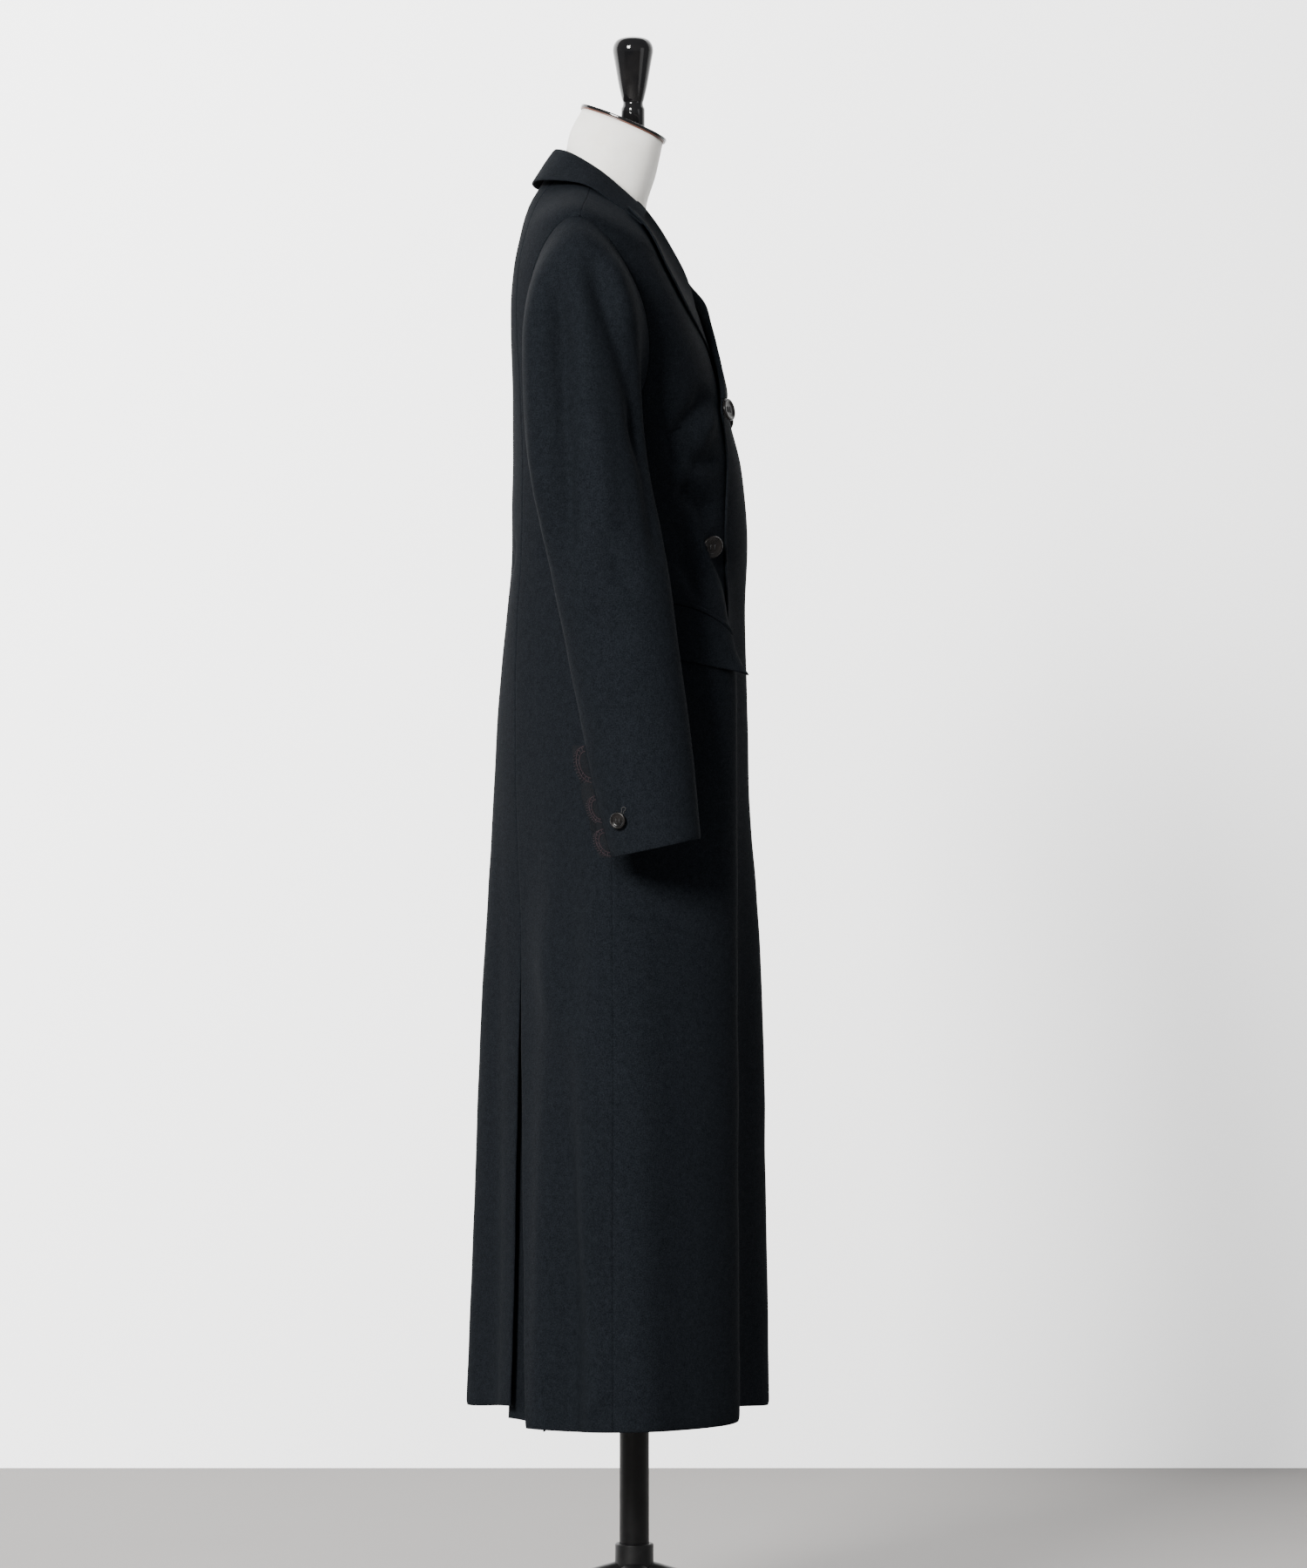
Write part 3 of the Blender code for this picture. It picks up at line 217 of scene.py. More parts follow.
def find(target, low, high, value):  # halving on a falling function
    low, high = low.copy(), high.copy()
    for _ in range(32):
        middle = (low + high) / 2
        above = value(middle) > target
        low, high = np.where(above, middle, low), np.where(above, high, middle)
    return (low + high) / 2


def armholePlace(height, toBack):
    middle = (coat["armFoot"] + coat["armTop"]) / 2
    share = np.clip((height - middle) / (coat["armTop"] - middle), -1, 1)
    bow = np.sqrt(1 - share ** 2)
    seamY = halfPoint(coatLines, np.full_like(height, atSide), height)[:, 1]
    reach = coat["armToBack"] if toBack else -coat["armToFront"]
    low = np.full_like(height, atPrincess if toBack else atSide)
    high = np.full_like(height, atSide if toBack else atRidge)
    return find(seamY + reach * bow, low, high, lambda a: halfPoint(coatLines, a, height)[:, 1])


def rollOut(height):
    share = (height - coat["breakHeight"]) / (coat["top"] - coat["breakHeight"])
    return -coat["lap"] + (coat["rollAtNeck"] + coat["lap"]) * np.clip(share, 0, 1)


def placeAtOut(height, out):
    low, high = np.full_like(height, atSide), np.full_like(height, 2 * atFront - atEdge)
    return find(out, low, high, lambda a: halfPoint(coatLines, a, height)[:, 0])


lapels = {
    "top": 1.478, "tip": 1.467, "leftFoot": 1.272, "rightFoot": 1.322, "tuck": 0.015, "gap": 0.0009,
    "standOff": 0.0025, "roll": 0.008, "rollShare": 0.55, "underCollar": 1.496, "innerGap": 0.0004,
    "rightFlat": (0.125, 0.165), "leftFlat": (0.135, 0.225), "rightArea": 0.0135, "leftArea": 0.0190,
    "leastBulge": 0.0008, "bulgeShare": 0.55, "tuckReach": 0.006, "tuckIn": 0.0006, "standRise": 0.06,
    # heights between which something grows to its full amount
    "underLeft": (1.232, 1.318), "rightRollFrom": (1.39, 1.45), "rightStandFrom": (1.345, 1.41),
    # height and out of the free edge
    "edge": np.array(((1.262, -0.080), (1.30, 0.000), (1.34, 0.062), (1.375, 0.093), (1.41, 0.105),
                      (1.44, 0.112), (1.48, 0.116))),
}


def frontLift(side, across, height):  # the left front rides over the right one
    if side == right:
        return np.zeros_like(height)
    out = halfPoint(coatLines, across, height)[:, 0]
    over = smoothStep(*coat["overlapOut"], out)
    over = over * smoothStep(coat["overlapEnd"], coat["overlapEnd"] - coat["overlapFade"], height)
    lapelUnder = smoothStep(*lapels["underLeft"], height)
    return over * (coat["cloth"] + coat["layerGap"] + (coat["cloth"] + 2 * lapels["gap"]) * lapelUnder)


def lapelLift(side, share, height):
    up = smoothStep(coat["breakHeight"], lapels["top"], height)
    standOff = lapels["standOff"] * share ** 2
    standOff = standOff * smoothStep(coat["breakHeight"], coat["breakHeight"] + lapels["standRise"], height)
    if side == right:  # held flat under the left front
        up = up * smoothStep(*lapels["rightRollFrom"], height)
        standOff = standOff * smoothStep(*lapels["rightStandFrom"], height)
    roll = lapels["roll"] * up * np.clip(1 - share / lapels["rollShare"], 0, 1) ** 1.5
    return coat["cloth"] + lapels["gap"] + standOff + roll


# soft troughs (negative depth) and ridges: depth, width, deepest at the hem or not, path in (y, z)
creaseScale = 1.35
leftCreases = {"shift": (0.004, -0.012), "strength": 0.85,
               "sleeveShift": (-0.003, -0.015), "sleeveStrength": 0.9}
sideCreases = (
    (-0.0055, 0.0085, False, ((-0.0759, 1.2806), (-0.062, 1.257), (-0.044, 1.233))),
    (0.0032, 0.008, False, ((-0.089, 1.266), (-0.07, 1.233), (-0.056, 1.215))),
    (-0.004, 0.006, False, ((-0.056, 1.203), (-0.07, 1.2055), (-0.087, 1.206))),
    (-0.008, 0.008, False, ((-0.043, 1.183), (-0.06, 1.172), (-0.0735, 1.162), (-0.0785, 1.144))),
    (0.006, 0.0075, False,
     ((-0.052, 1.148), (-0.0715, 1.1124), (-0.0828, 1.089), (-0.0915, 1.0682), (-0.0976, 1.0274))),
    (-0.0085, 0.0105, False, ((-0.076, 1.138), (-0.093, 1.09), (-0.106, 1.03))),
    (-0.0045, 0.0065, False, ((-0.0351, 1.2451), (-0.0395, 1.2234), (-0.0438, 1.1939))),
    (-0.003, 0.0065, False, ((-0.043, 1.12), (-0.06, 1.085), (-0.068, 1.064))),
    (-0.0016, 0.026, True, ((-0.04, 0.96), (-0.046, 0.56), (-0.052, 0.25))),
    (0.0046, 0.022, True, ((-0.008, 0.9), (-0.01, 0.52), (-0.012, 0.25))),
    (0.0066, 0.013, True, ((0.078, 0.96), (0.084, 0.6), (0.088, 0.25))),
    (-0.0086, 0.013, True, ((0.058, 0.94), (0.062, 0.56), (0.064, 0.25))),
    (0.0046, 0.013, True, ((0.036, 0.92), (0.04, 0.54), (0.04, 0.25))),
    (0.0052, 0.015, False, ((0.099, 0.79), (0.08, 0.69), (0.0598, 0.6337), (0.044, 0.47), (0.037, 0.33))),
    (0.003, 0.006, False, ((0.024, 0.3), (0.036, 0.284), (0.048, 0.272))),
    (-0.0042, 0.01, False, ((0.092, 1.13), (0.06, 1.105), (0.04, 1.112))),
    (-0.003, 0.008, False, ((0.088, 1.17), (0.062, 1.158))),
)
sleeveCreases = (
    (-0.0085, 0.0105, False, ((0.0796, 1.41), (0.0711, 1.332), (0.0669, 1.201), (0.0645, 1.0531))),
    (-0.0085, 0.014, False,
     ((0.049, 1.418), (0.0331, 1.372), (0.0127, 1.321), (-0.0051, 1.26), (-0.016, 1.18))),
    (0.004, 0.013, False, ((0.053, 1.412), (0.0491, 1.332), (0.0313, 1.201), (0.0228, 1.0553))),
    (0.0034, 0.009, False, ((0.0889, 1.4068), (0.0974, 1.332), (0.0948, 1.201), (0.08, 1.09))),
    (0.0036, 0.009, False, ((0.028, 1.406), (0.011, 1.36), (0.001, 1.315))),
    (-0.005, 0.01, False, ((-0.004, 1.262), (-0.013, 1.21), (-0.022, 1.14), (-0.03, 1.08))),
    (-0.0036, 0.011, False, ((0.034, 1.13), (0.012, 1.09), (-0.01, 1.082))),
    (-0.003, 0.011, False, ((0.046, 1.06), (0.02, 1.03), (-0.006, 1.028))),
    (-0.002, 0.01, False, ((0.03, 0.96), (0.006, 0.945))),
)
# these lie on the back, with paths in (x, z)
backCreases = (
    (-0.0036, 0.01, False, ((0.06, 1.15), (0.03, 1.128), (0.004, 1.132))),
    (-0.003, 0.01, False, ((-0.062, 1.128), (-0.036, 1.11), (-0.01, 1.116))),
    (-0.0052, 0.018, True, ((0.048, 0.96), (0.052, 0.56), (0.056, 0.25))),
    (-0.0056, 0.02, True, ((-0.042, 0.94), (-0.05, 0.52), (-0.052, 0.25))),
    (0.0036, 0.02, True, ((0.006, 0.9), (0.004, 0.52), (0.002, 0.25))),
)


def creaseLift(flat, creases, shift=(0.0, 0.0), strength=1.0):
    total = np.zeros(len(flat))
    for depth, width, growing, path in creases:
        path = np.array(path) + shift
        lengths = np.linalg.norm(np.diff(path, axis=0), axis=1)
        best, place, run = np.full(len(flat), 1e9), np.zeros(len(flat)), 0.0
        for start, end, length in zip(path[:-1], path[1:], lengths):
            way = (end - start) / length
            t = np.clip((flat - start) @ way, 0, length)
            gap = np.linalg.norm(flat - start - t[:, None] * way, axis=1)
            nearer = gap < best
            best, place = np.where(nearer, gap, best), np.where(nearer, run + t, place)
            run += length
        share = place / lengths.sum()
        if growing:
            fade, spread = smoothStep(0, 1, share), width * (0.7 + 0.5 * share)
        else:
            fade, spread = smoothStep(0, 0.22, share) * smoothStep(1, 0.7, share), width
        total += depth * fade * np.exp(-(best / spread) ** 2)
    return total * strength * creaseScale


def panelCreases(side, base):  # shared by the panels that meet at a seam, so that they stay together
    own = () if side == right else (leftCreases["shift"], leftCreases["strength"])
    offCentre = smoothStep(0.078, 0.112, side * base[:, 0])
    return creaseLift(base[:, (1, 2)], sideCreases, *own) * offCentre


def wander(points, amount=0.0010, scale=9.0, seed=0.0):  # cloth is never quite even
    offset = Vector((seed, seed * 0.7, 0))
    return amount * np.array([noise.noise(Vector(p) * scale + offset)
                              + 0.4 * noise.noise(Vector(p) * scale * 2.7 + offset) for p in points])


def edgeKnots(count, size, tight=(0.0011, 0.0026, 0.0050)):
    near = np.concatenate([[0.0], np.array(tight) / size])
    inner = np.linspace(near[-1], 1 - near[-1], count + 1 - 2 * len(tight))
    return np.concatenate([near[:-1], inner, 1 - near[:-1][::-1]])


def plainKnots(count):
    return np.linspace(0, 1, count + 1)


def link(thing):
    bpy.context.scene.collection.objects.link(thing)
    return thing


def standFor(node):
    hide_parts(node)


def addPiece(name, bm, finish):
    mesh = bpy.data.meshes.new(name)
    bm.to_mesh(mesh)
    bm.free()
    mesh.shade_smooth()
    mesh.materials.append(finish)
    piece = link(bpy.data.objects.new(name, mesh))
    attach(piece, "root")
    return piece


def clothPiece(name, uKnots, wKnots, place, finish, size, thick, rounded=0):
    columns, rows = len(uKnots) - 1, len(wKnots) - 1
    bm = bmesh.new()
    bmesh.ops.create_grid(bm, x_segments=columns, y_segments=rows, size=0.5)
    flat = np.array([vert.co[:2] for vert in bm.verts]) + 0.5
    u = uKnots[np.rint(flat[:, 0] * columns).astype(int)]
    w = wKnots[np.rint(flat[:, 1] * rows).astype(int)]
    points = place(u, w, np.zeros_like(u))
    uvLayer = bm.loops.layers.uv.new("cut")
    for vert, point in zip(bm.verts, points):
        vert.co = point
    bm.verts.index_update()
    for face in bm.faces:
        for loop in face.loops:
            i = loop.vert.index
            loop[uvLayer].uv = (u[i] * size[0], w[i] * size[1])
    bm.normal_update()
    # turn the faces outward, judged at one corner near the middle
    bm.verts.ensure_lookup_table()
    near = int(np.argmin((u - 0.5) ** 2 + (w - 0.5) ** 2))
    spot = slice(near, near + 1)
    outward = place(u[spot], w[spot], np.array([1e-3]))[0] - points[near]
    if bm.verts[near].normal.dot(Vector(outward)) < 0:
        bmesh.ops.reverse_faces(bm, faces=bm.faces[:])
    piece = addPiece(name, bm, finish)
    wall = piece.modifiers.new("Wall", "SOLIDIFY")
    wall.thickness, wall.offset = thick, -1
    if rounded:
        soft = piece.modifiers.new("Soft edge", "SUBSURF")
        soft.levels = soft.render_levels = rounded
    return piece


def seamDip(u, w, size, lastEdge=coat["turnIn"]):  # the cloth turns in at a seam or hem
    first, last = (smoothStep(coat["turnReach"], 0, share * size[0]) for share in (u, 1 - u))
    along = smoothStep(coat["hemReach"], 0, np.minimum(w, 1 - w) * size[1])
    return -coat["turnIn"] * first - lastEdge * last - coat["hemTurnIn"] * along


def socket(node, name, value):
    node.inputs[name].default_value = value


def newFinish(name):
    made = bpy.data.materials.new(name)
    made.use_nodes = True
    tree = made.node_tree
    return made, tree, tree.nodes["Principled BSDF"]


def addNode(tree, kind, **values):
    node = tree.nodes.new(kind)
    for key, value in values.items():
        if key in node.inputs:
            socket(node, key, value)
        else:
            setattr(node, key, value)
    return node


def noiseNode(tree, coords, scale, detail=3.0, rough=0.55):
    node = addNode(tree, "ShaderNodeTexNoise", Scale=scale, Detail=detail, Roughness=rough)
    tree.links.new(coords, node.inputs["Vector"])
    return node


def rampNode(tree, factor, stops):
    node = addNode(tree, "ShaderNodeValToRGB")
    ramp = node.color_ramp
    while len(ramp.elements) < len(stops):
        ramp.elements.new(0.5)
    for element, (place, colour) in zip(ramp.elements, stops):
        element.position = place
        element.color = (*colour, 1)
    tree.links.new(factor, node.inputs["Fac"])
    return node


def bumpNode(tree, height, strength, distance, before=None):
    node = addNode(tree, "ShaderNodeBump", Strength=strength, Distance=distance)
    tree.links.new(height, node.inputs["Height"])
    if before is not None:
        tree.links.new(before.outputs["Normal"], node.inputs["Normal"])
    return node


wool = {"dark": (0.0030, 0.0038, 0.0049), "light": (0.0092, 0.0110, 0.0138), "sheen": 0.004,
        "sheenTint": (0.62, 0.74, 0.95, 1), "napScale": 900, "mottleScale": 170, "mottleShare": 0.25,
        "twillScale": 420}


def makeWool():
    made, tree, shader = newFinish("navy wool")
    coords = addNode(tree, "ShaderNodeTexCoord")
    nap = noiseNode(tree, coords.outputs["Object"], wool["napScale"], 3)
    mottle = noiseNode(tree, coords.outputs["Object"], wool["mottleScale"], 4, 0.6)
    twill = addNode(tree, "ShaderNodeTexWave", wave_type="BANDS", bands_direction="DIAGONAL")
    socket(twill, "Scale", wool["twillScale"])
    socket(twill, "Distortion", 1.2)
    socket(twill, "Detail Scale", 3)
    tree.links.new(coords.outputs["UV"], twill.inputs["Vector"])
    blend = addNode(tree, "ShaderNodeMix", data_type="FLOAT", Factor=wool["mottleShare"])
    tree.links.new(nap.outputs["Fac"], blend.inputs["A"])
    tree.links.new(mottle.outputs["Fac"], blend.inputs["B"])
    colour = rampNode(tree, blend.outputs["Result"], ((0.36, wool["dark"]), (0.66, wool["light"])))
    tree.links.new(colour.outputs["Color"], shader.inputs["Base Color"])
    weave = bumpNode(tree, twill.outputs["Fac"], 0.06, 0.0003)
    fuzz = bumpNode(tree, nap.outputs["Fac"], 0.45, 0.0006, weave)
    tree.links.new(fuzz.outputs["Normal"], shader.inputs["Normal"])
    socket(shader, "Roughness", 0.95)
    socket(shader, "Specular IOR Level", 0.02)
    socket(shader, "Sheen Weight", wool["sheen"])
    socket(shader, "Sheen Roughness", 0.45)
    socket(shader, "Sheen Tint", wool["sheenTint"])
    return made


# grain is a noise's scale and detail, rough one value or stops, bump a grain and its strength and depth
finishes = {
    "lace net": {"grain": (900, 3), "rough": 0.75, "shine": 0.2, "bump": (900, 3, 0.5, 0.0004),
                 "stops": ((0.35, (0.003, 0.003, 0.0035)), (0.66, (0.007, 0.006, 0.007)))},
    "plum lace cord": {"grain": (900, 3), "rough": 0.75, "shine": 0.2, "bump": (900, 3, 0.5, 0.0004),
                       "stops": ((0.35, (0.011, 0.0068, 0.0090)), (0.66, (0.026, 0.0165, 0.0205)))},
    "dark horn": {"grain": (140, 4), "rough": ((0.3, 0.22), (0.7, 0.34)), "shine": 0.22,
                  "stops": ((0.35, (0.003, 0.0028, 0.003)), (0.72, (0.009, 0.0075, 0.0068)))},
    "black thread": {"grain": (1600, 2), "rough": 0.6, "shine": 0.5, "bump": (1600, 2, 0.5, 0.0003),
                     "stops": ((0.3, (0.005, 0.005, 0.006)), (0.7, (0.014, 0.014, 0.016)))},
    "black lacquer": {"grain": (70, 5), "rough": ((0.3, 0.07), (0.75, 0.15)), "shine": 0.35,
                      "bump": (420, 3, 0.06, 0.0006),
                      "stops": ((0.3, (0.004, 0.004, 0.0045)), (0.75, (0.008, 0.0075, 0.0075)))},
    "black iron": {"grain": (70, 5), "rough": ((0.3, 0.40), (0.75, 0.55)), "shine": 0.18,
                   "bump": (420, 3, 0.06, 0.0006),
                   "stops": ((0.3, (0.002, 0.002, 0.0022)), (0.75, (0.005, 0.005, 0.0053)))},
    "red brown rim": {"grain": (70, 5), "rough": ((0.3, 0.35), (0.75, 0.5)), "shine": 0.5,
                      "bump": (420, 3, 0.06, 0.0006),
                      "stops": ((0.3, (0.090, 0.030, 0.018)), (0.75, (0.150, 0.055, 0.032)))},
}


def makeGrained(name):
    look = finishes[name]
    made, tree, shader = newFinish(name)
    coords = addNode(tree, "ShaderNodeTexCoord").outputs["Object"]
    grain = noiseNode(tree, coords, *look["grain"]).outputs["Fac"]
    tree.links.new(rampNode(tree, grain, look["stops"]).outputs["Color"], shader.inputs["Base Color"])
    if isinstance(look["rough"], float):
        socket(shader, "Roughness", look["rough"])
    else:
        rough = rampNode(tree, grain, [(place, (value,) * 3) for place, value in look["rough"]])
        tree.links.new(rough.outputs["Color"], shader.inputs["Roughness"])
    if "bump" in look:
        scale, detail, strength, depth = look["bump"]
        bump = bumpNode(tree, noiseNode(tree, coords, scale, detail).outputs["Fac"], strength, depth)
        tree.links.new(bump.outputs["Normal"], shader.inputs["Normal"])
    socket(shader, "Specular IOR Level", look["shine"])
    return made


linen = {"dark": (0.88, 0.855, 0.80), "light": (0.94, 0.925, 0.88), "weaveScale": 320, "slubScale": 45}


def makeLinen():
    made, tree, shader = newFinish("cream linen")
    coords = addNode(tree, "ShaderNodeTexCoord")
    lines = []
    for direction in ("X", "Y"):
        line = addNode(tree, "ShaderNodeTexWave", wave_type="BANDS", bands_direction=direction)
        socket(line, "Scale", linen["weaveScale"])
        socket(line, "Distortion", 1.5)
        tree.links.new(coords.outputs["UV"], line.inputs["Vector"])
        lines.append(line)
    weave = addNode(tree, "ShaderNodeMath", operation="ADD")
    for i, line in enumerate(lines):
        tree.links.new(line.outputs["Fac"], weave.inputs[i])
    slub = noiseNode(tree, coords.outputs["Object"], linen["slubScale"], 5)
    colour = rampNode(tree, slub.outputs["Fac"], ((0.35, linen["dark"]), (0.70, linen["light"])))
    tree.links.new(colour.outputs["Color"], shader.inputs["Base Color"])
    bump = bumpNode(tree, weave.outputs["Value"], 0.25, 0.0004)
    tree.links.new(bump.outputs["Normal"], shader.inputs["Normal"])
    socket(shader, "Roughness", 0.85)
    socket(shader, "Sheen Weight", 0.15)
    return made


navyWool, creamLinen = makeWool(), makeLinen()
laceNet, plumCord, darkHorn, blackThread, blackLacquer, blackIron, capRim = map(makeGrained, finishes)
print("finishes made")

# body panels
panels = {
    "back": {"columns": 34, "rows": 150, "width": 0.20, "length": 1.26, "area": 0.232},
    "sideBack": {"columns": 32, "rows": 170, "width": 0.22, "length": 1.25, "area": 0.155},
    "front": {"columns": 62, "rows": 190, "width": 0.44, "length": 1.25, "area": 0.425},
}


def bodyPanel(name, side, shape, edges, lift, lastEdge, centrePanel=False):
    size = (shape["width"], shape["length"])
    top = coat["top"] - coat["topTrim"]

    def place(u, w, extra):
        height = coat["hem"] + (top - coat["hem"]) * w
        levels, row = np.unique(height, return_inverse=True)
        low, high = edges(levels)

        def pace(at):
            ahead = halfPoint(coatLines, at + tinyStep, levels, centrePanel)
            behind = halfPoint(coatLines, at - tinyStep, levels, centrePanel)
            return np.linalg.norm(ahead - behind, axis=1) / (2 * tinyStep)

        low, high = low + coat["seam"] / pace(low), high - coat["seam"] / pace(high)
        across = low[row] + (high - low)[row] * u
        base, normal = surfaceFrame(coatLines, side, across, height, centrePanel)
        if centrePanel:
            folds = creaseLift(base[:, (0, 2)], backCreases) * smoothStep(0, 0.2, np.minimum(u, 1 - u))
        else:
            folds = panelCreases(side, base)
        out = lift(across, height) + folds + wander(base) + seamDip(u, w, size, lastEdge(height)) + extra
        return base + normal * out[:, None]

    return clothPiece(name, edgeKnots(shape["columns"], size[0]), edgeKnots(shape["rows"], size[1]), place,
                      navyWool, size, coat["cloth"])


def noLift(across, height):
    return np.zeros_like(height)


def frontEdges(height):
    rolled = placeAtOut(height, rollOut(height))
    lapped = np.full_like(height, 2 * atFront - atEdge)
    edge = np.where(height < coat["breakHeight"], lapped, np.minimum(rolled, lapped))
    return armholePlace(height, False), edge


def declare(node):
    standFor(node)


def frontRim(side):  # the upper front's edge is thick, and turns in below the waist
    if side == right:
        return lambda height: 0.0
    return lambda height: coat["lipTurnIn"] * smoothStep(*coat["lipEnds"], height) - coat["lip"]


def sewn(height):
    return coat["turnIn"]


def makePanel(name, node, side, shape, edges, lift=noLift, lastEdge=sewn, centrePanel=False):
    piece = bodyPanel(name, side, shape, edges, lift, lastEdge, centrePanel)
    declare(node)


def makeBody():
    makePanel("coatBack", "back", right, panels["back"],
              lambda h: (np.full_like(h, -atPrincess), np.full_like(h, atPrincess)), centrePanel=True)
    for side, word in sides:
        makePanel("coatSideBack" + word.title(), "side_back_" + word, side, panels["sideBack"],
                  lambda h: (np.full_like(h, atPrincess), armholePlace(h, True)))
        makePanel("coatFront" + word.title(), "front_" + word, side, panels["front"], frontEdges,
                  lambda a, h, side=side: frontLift(side, a, h), frontRim(side))


makeBody()
print("body panels made")

pleat = {"columns": 14, "rows": 60, "flat": (0.145, 0.485), "area": 0.043, "recess": 0.013, "hem": 0.2500,
         "drop": 0.48, "gap": 0.0006, "deepening": 0.006, "tucks": (-0.035, 0.040)}


def makePleats():
    for side, word in sides:
        def place(u, w, extra):
            height = coat["hem"] + (coat["pleatTop"] - coat["hem"]) * w
            depth = (extra - coat["cloth"] - pleat["gap"] - pleat["deepening"] * np.sqrt(1 - w))[:, None]
            backPlace, sidePlace = (np.full_like(w, atPrincess + tuck) for tuck in pleat["tucks"])
            atBack, backNormal = surfaceFrame(coatLines, side, backPlace, height, True)
            atSideEdge, sideNormal = surfaceFrame(coatLines, side, sidePlace, height)
            fromBack, fromSide = atBack + backNormal * depth, atSideEdge + sideNormal * depth
            points = fromBack + (fromSide - fromBack) * u[:, None]
            recess = pleat["recess"] * np.sin(math.pi * u) ** 0.8 * np.sqrt(1 - w)
            points -= unit(backNormal + sideNormal) * recess[:, None]
            points[:, 2] += (pleat["hem"] - points[:, 2]) * (1 - w) ** 8  # level at its own hem
            return points

        uKnots, wKnots = plainKnots(pleat["columns"]), edgeKnots(pleat["rows"], pleat["drop"])
        piece = clothPiece("pleat" + word.title(), uKnots, wKnots, place, navyWool, pleat["flat"],
                           coat["cloth"])
        declare("pleat_" + word)


makePleats()
print("pleats made")


def makeLapels():
    for side, word in sides:
        foot = lapels["rightFoot"] if side == right else lapels["leftFoot"]

        def place(u, w, extra):
            share, turn = np.clip(u, 0, 1), np.clip(-u, 0, 1)  # below 0 the cloth turns round the roll
            top = lapels["tip"] + (lapels["underCollar"] - lapels["tip"]) * (1 - share) ** 0.6
            height = foot + (top - foot) * w
            free = eased(lapels["edge"][:, 0], lapels["edge"][:, 1], height)
            roll = rollOut(height)
            ownRoll = np.ones_like(height)
            if side == right:
                ownRoll = smoothStep(0, 0.02, 2 * roll + lapels["tuck"])
                roll = np.maximum(roll, -roll - lapels["tuck"])
            across = placeAtOut(height, roll + (free - roll) * share)
            base, normal = surfaceFrame(coatLines, side, across, height)
            under = frontLift(side, across, height)
            uneven = wander(base, amount=0.0006, scale=16, seed=2.0 + side)
            lift = under + lapelLift(side, share, height) + uneven + extra
            points = base + normal * lift[:, None]
            inner = base + normal * (under - coat["cloth"] - lapels["innerGap"])[:, None]
            beyond = unit(raised(coatLines, side, across + 1e-3, height, 0 * lift) - base)
            half = (points - inner) / 2
            bulge = lapels["leastBulge"] + lapels["bulgeShare"] * np.linalg.norm(half, axis=1)
            angle = math.pi * turn
            rolled = inner + half * (1 + np.cos(angle))[:, None] + beyond * (bulge * np.sin(angle))[:, None]
            tucked = points + (beyond * lapels["tuckReach"] - normal * lapels["tuckIn"]) * turn[:, None]
            rolled = tucked + (rolled - tucked) * ownRoll[:, None]
            return np.where((u < 0)[:, None], rolled, points)

        flat = lapels[word + "Flat"]
        knots = np.concatenate([np.linspace(-1, 0, 11)[:-1], edgeKnots(26, 0.10)])
        piece = clothPiece("lapel" + word.title(), knots, edgeKnots(40, 0.15), place, navyWool, flat,
                           coat["cloth"], 1)
        declare("lapel_" + word)


makeLapels()

collar = {
    # stand foot, fold, free edge, each as out, y, z
    "stations": np.array((
        (0.000, 0.0878, 1.5046, 0.000, 0.0780, 1.536, 0.000, 0.1045, 1.495),
        (0.042, 0.0787, 1.4978, 0.042, 0.0600, 1.528, 0.062, 0.0935, 1.494),
        (0.070, 0.0420, 1.4910, 0.067, 0.0330, 1.506, 0.104, 0.0519, 1.4865),
        (0.068, 0.0120, 1.4740, 0.070, 0.0110, 1.486, 0.112, 0.0235, 1.4690),
        (0.053, -0.0170, 1.4465, 0.058, -0.0140, 1.465, 0.107, -0.0095, 1.4450))),
    "flat": (0.34, 0.085), "area": 0.0195, "crown": 0.25, "full": 1.35,
}


def makeCollar():
    stations = collar["stations"]
    count = len(stations) - 1
    spots = np.concatenate([-np.arange(count, 0, -1), np.arange(count + 1)]) / count

    def line(columns):
        half = stations[:, columns]
        return np.concatenate([half[:0:-1] * (-1, 1, 1), half])

    foot, fold, free = (line(slice(i, i + 3)) for i in (0, 3, 6))

    def at(s, w):
        a, b, c = (flowing(spots, values, s) for values in (foot, fold, free))
        w = w[:, None]
        crown = (a + c) / 2
        peak = b + (b - crown) * collar["crown"]
        pull = peak * collar["full"] - crown * (collar["full"] - 1)
        return (1 - w) ** 2 * a + 2 * w * (1 - w) * pull + w ** 2 * c

    def place(u, w, extra):
        s = 2 * u - 1
        inside, over = np.clip(s, -1 + tinyStep, 1 - tinyStep), np.clip(w, tinyStep, 1 - tinyStep)
        along = at(inside + tinyStep, over) - at(inside - tinyStep, over)
        normal = unit(np.cross(along, at(inside, over + tinyStep) - at(inside, over - tinyStep)))
        return at(s, w) + normal * extra[:, None]

    size = collar["flat"]
    piece = clothPiece("collar", edgeKnots(70, size[0]), edgeKnots(24, size[1]), place, navyWool, size,
                       coat["cloth"], 1)
    declare("collar")


makeCollar()
print("lapels and collar made")

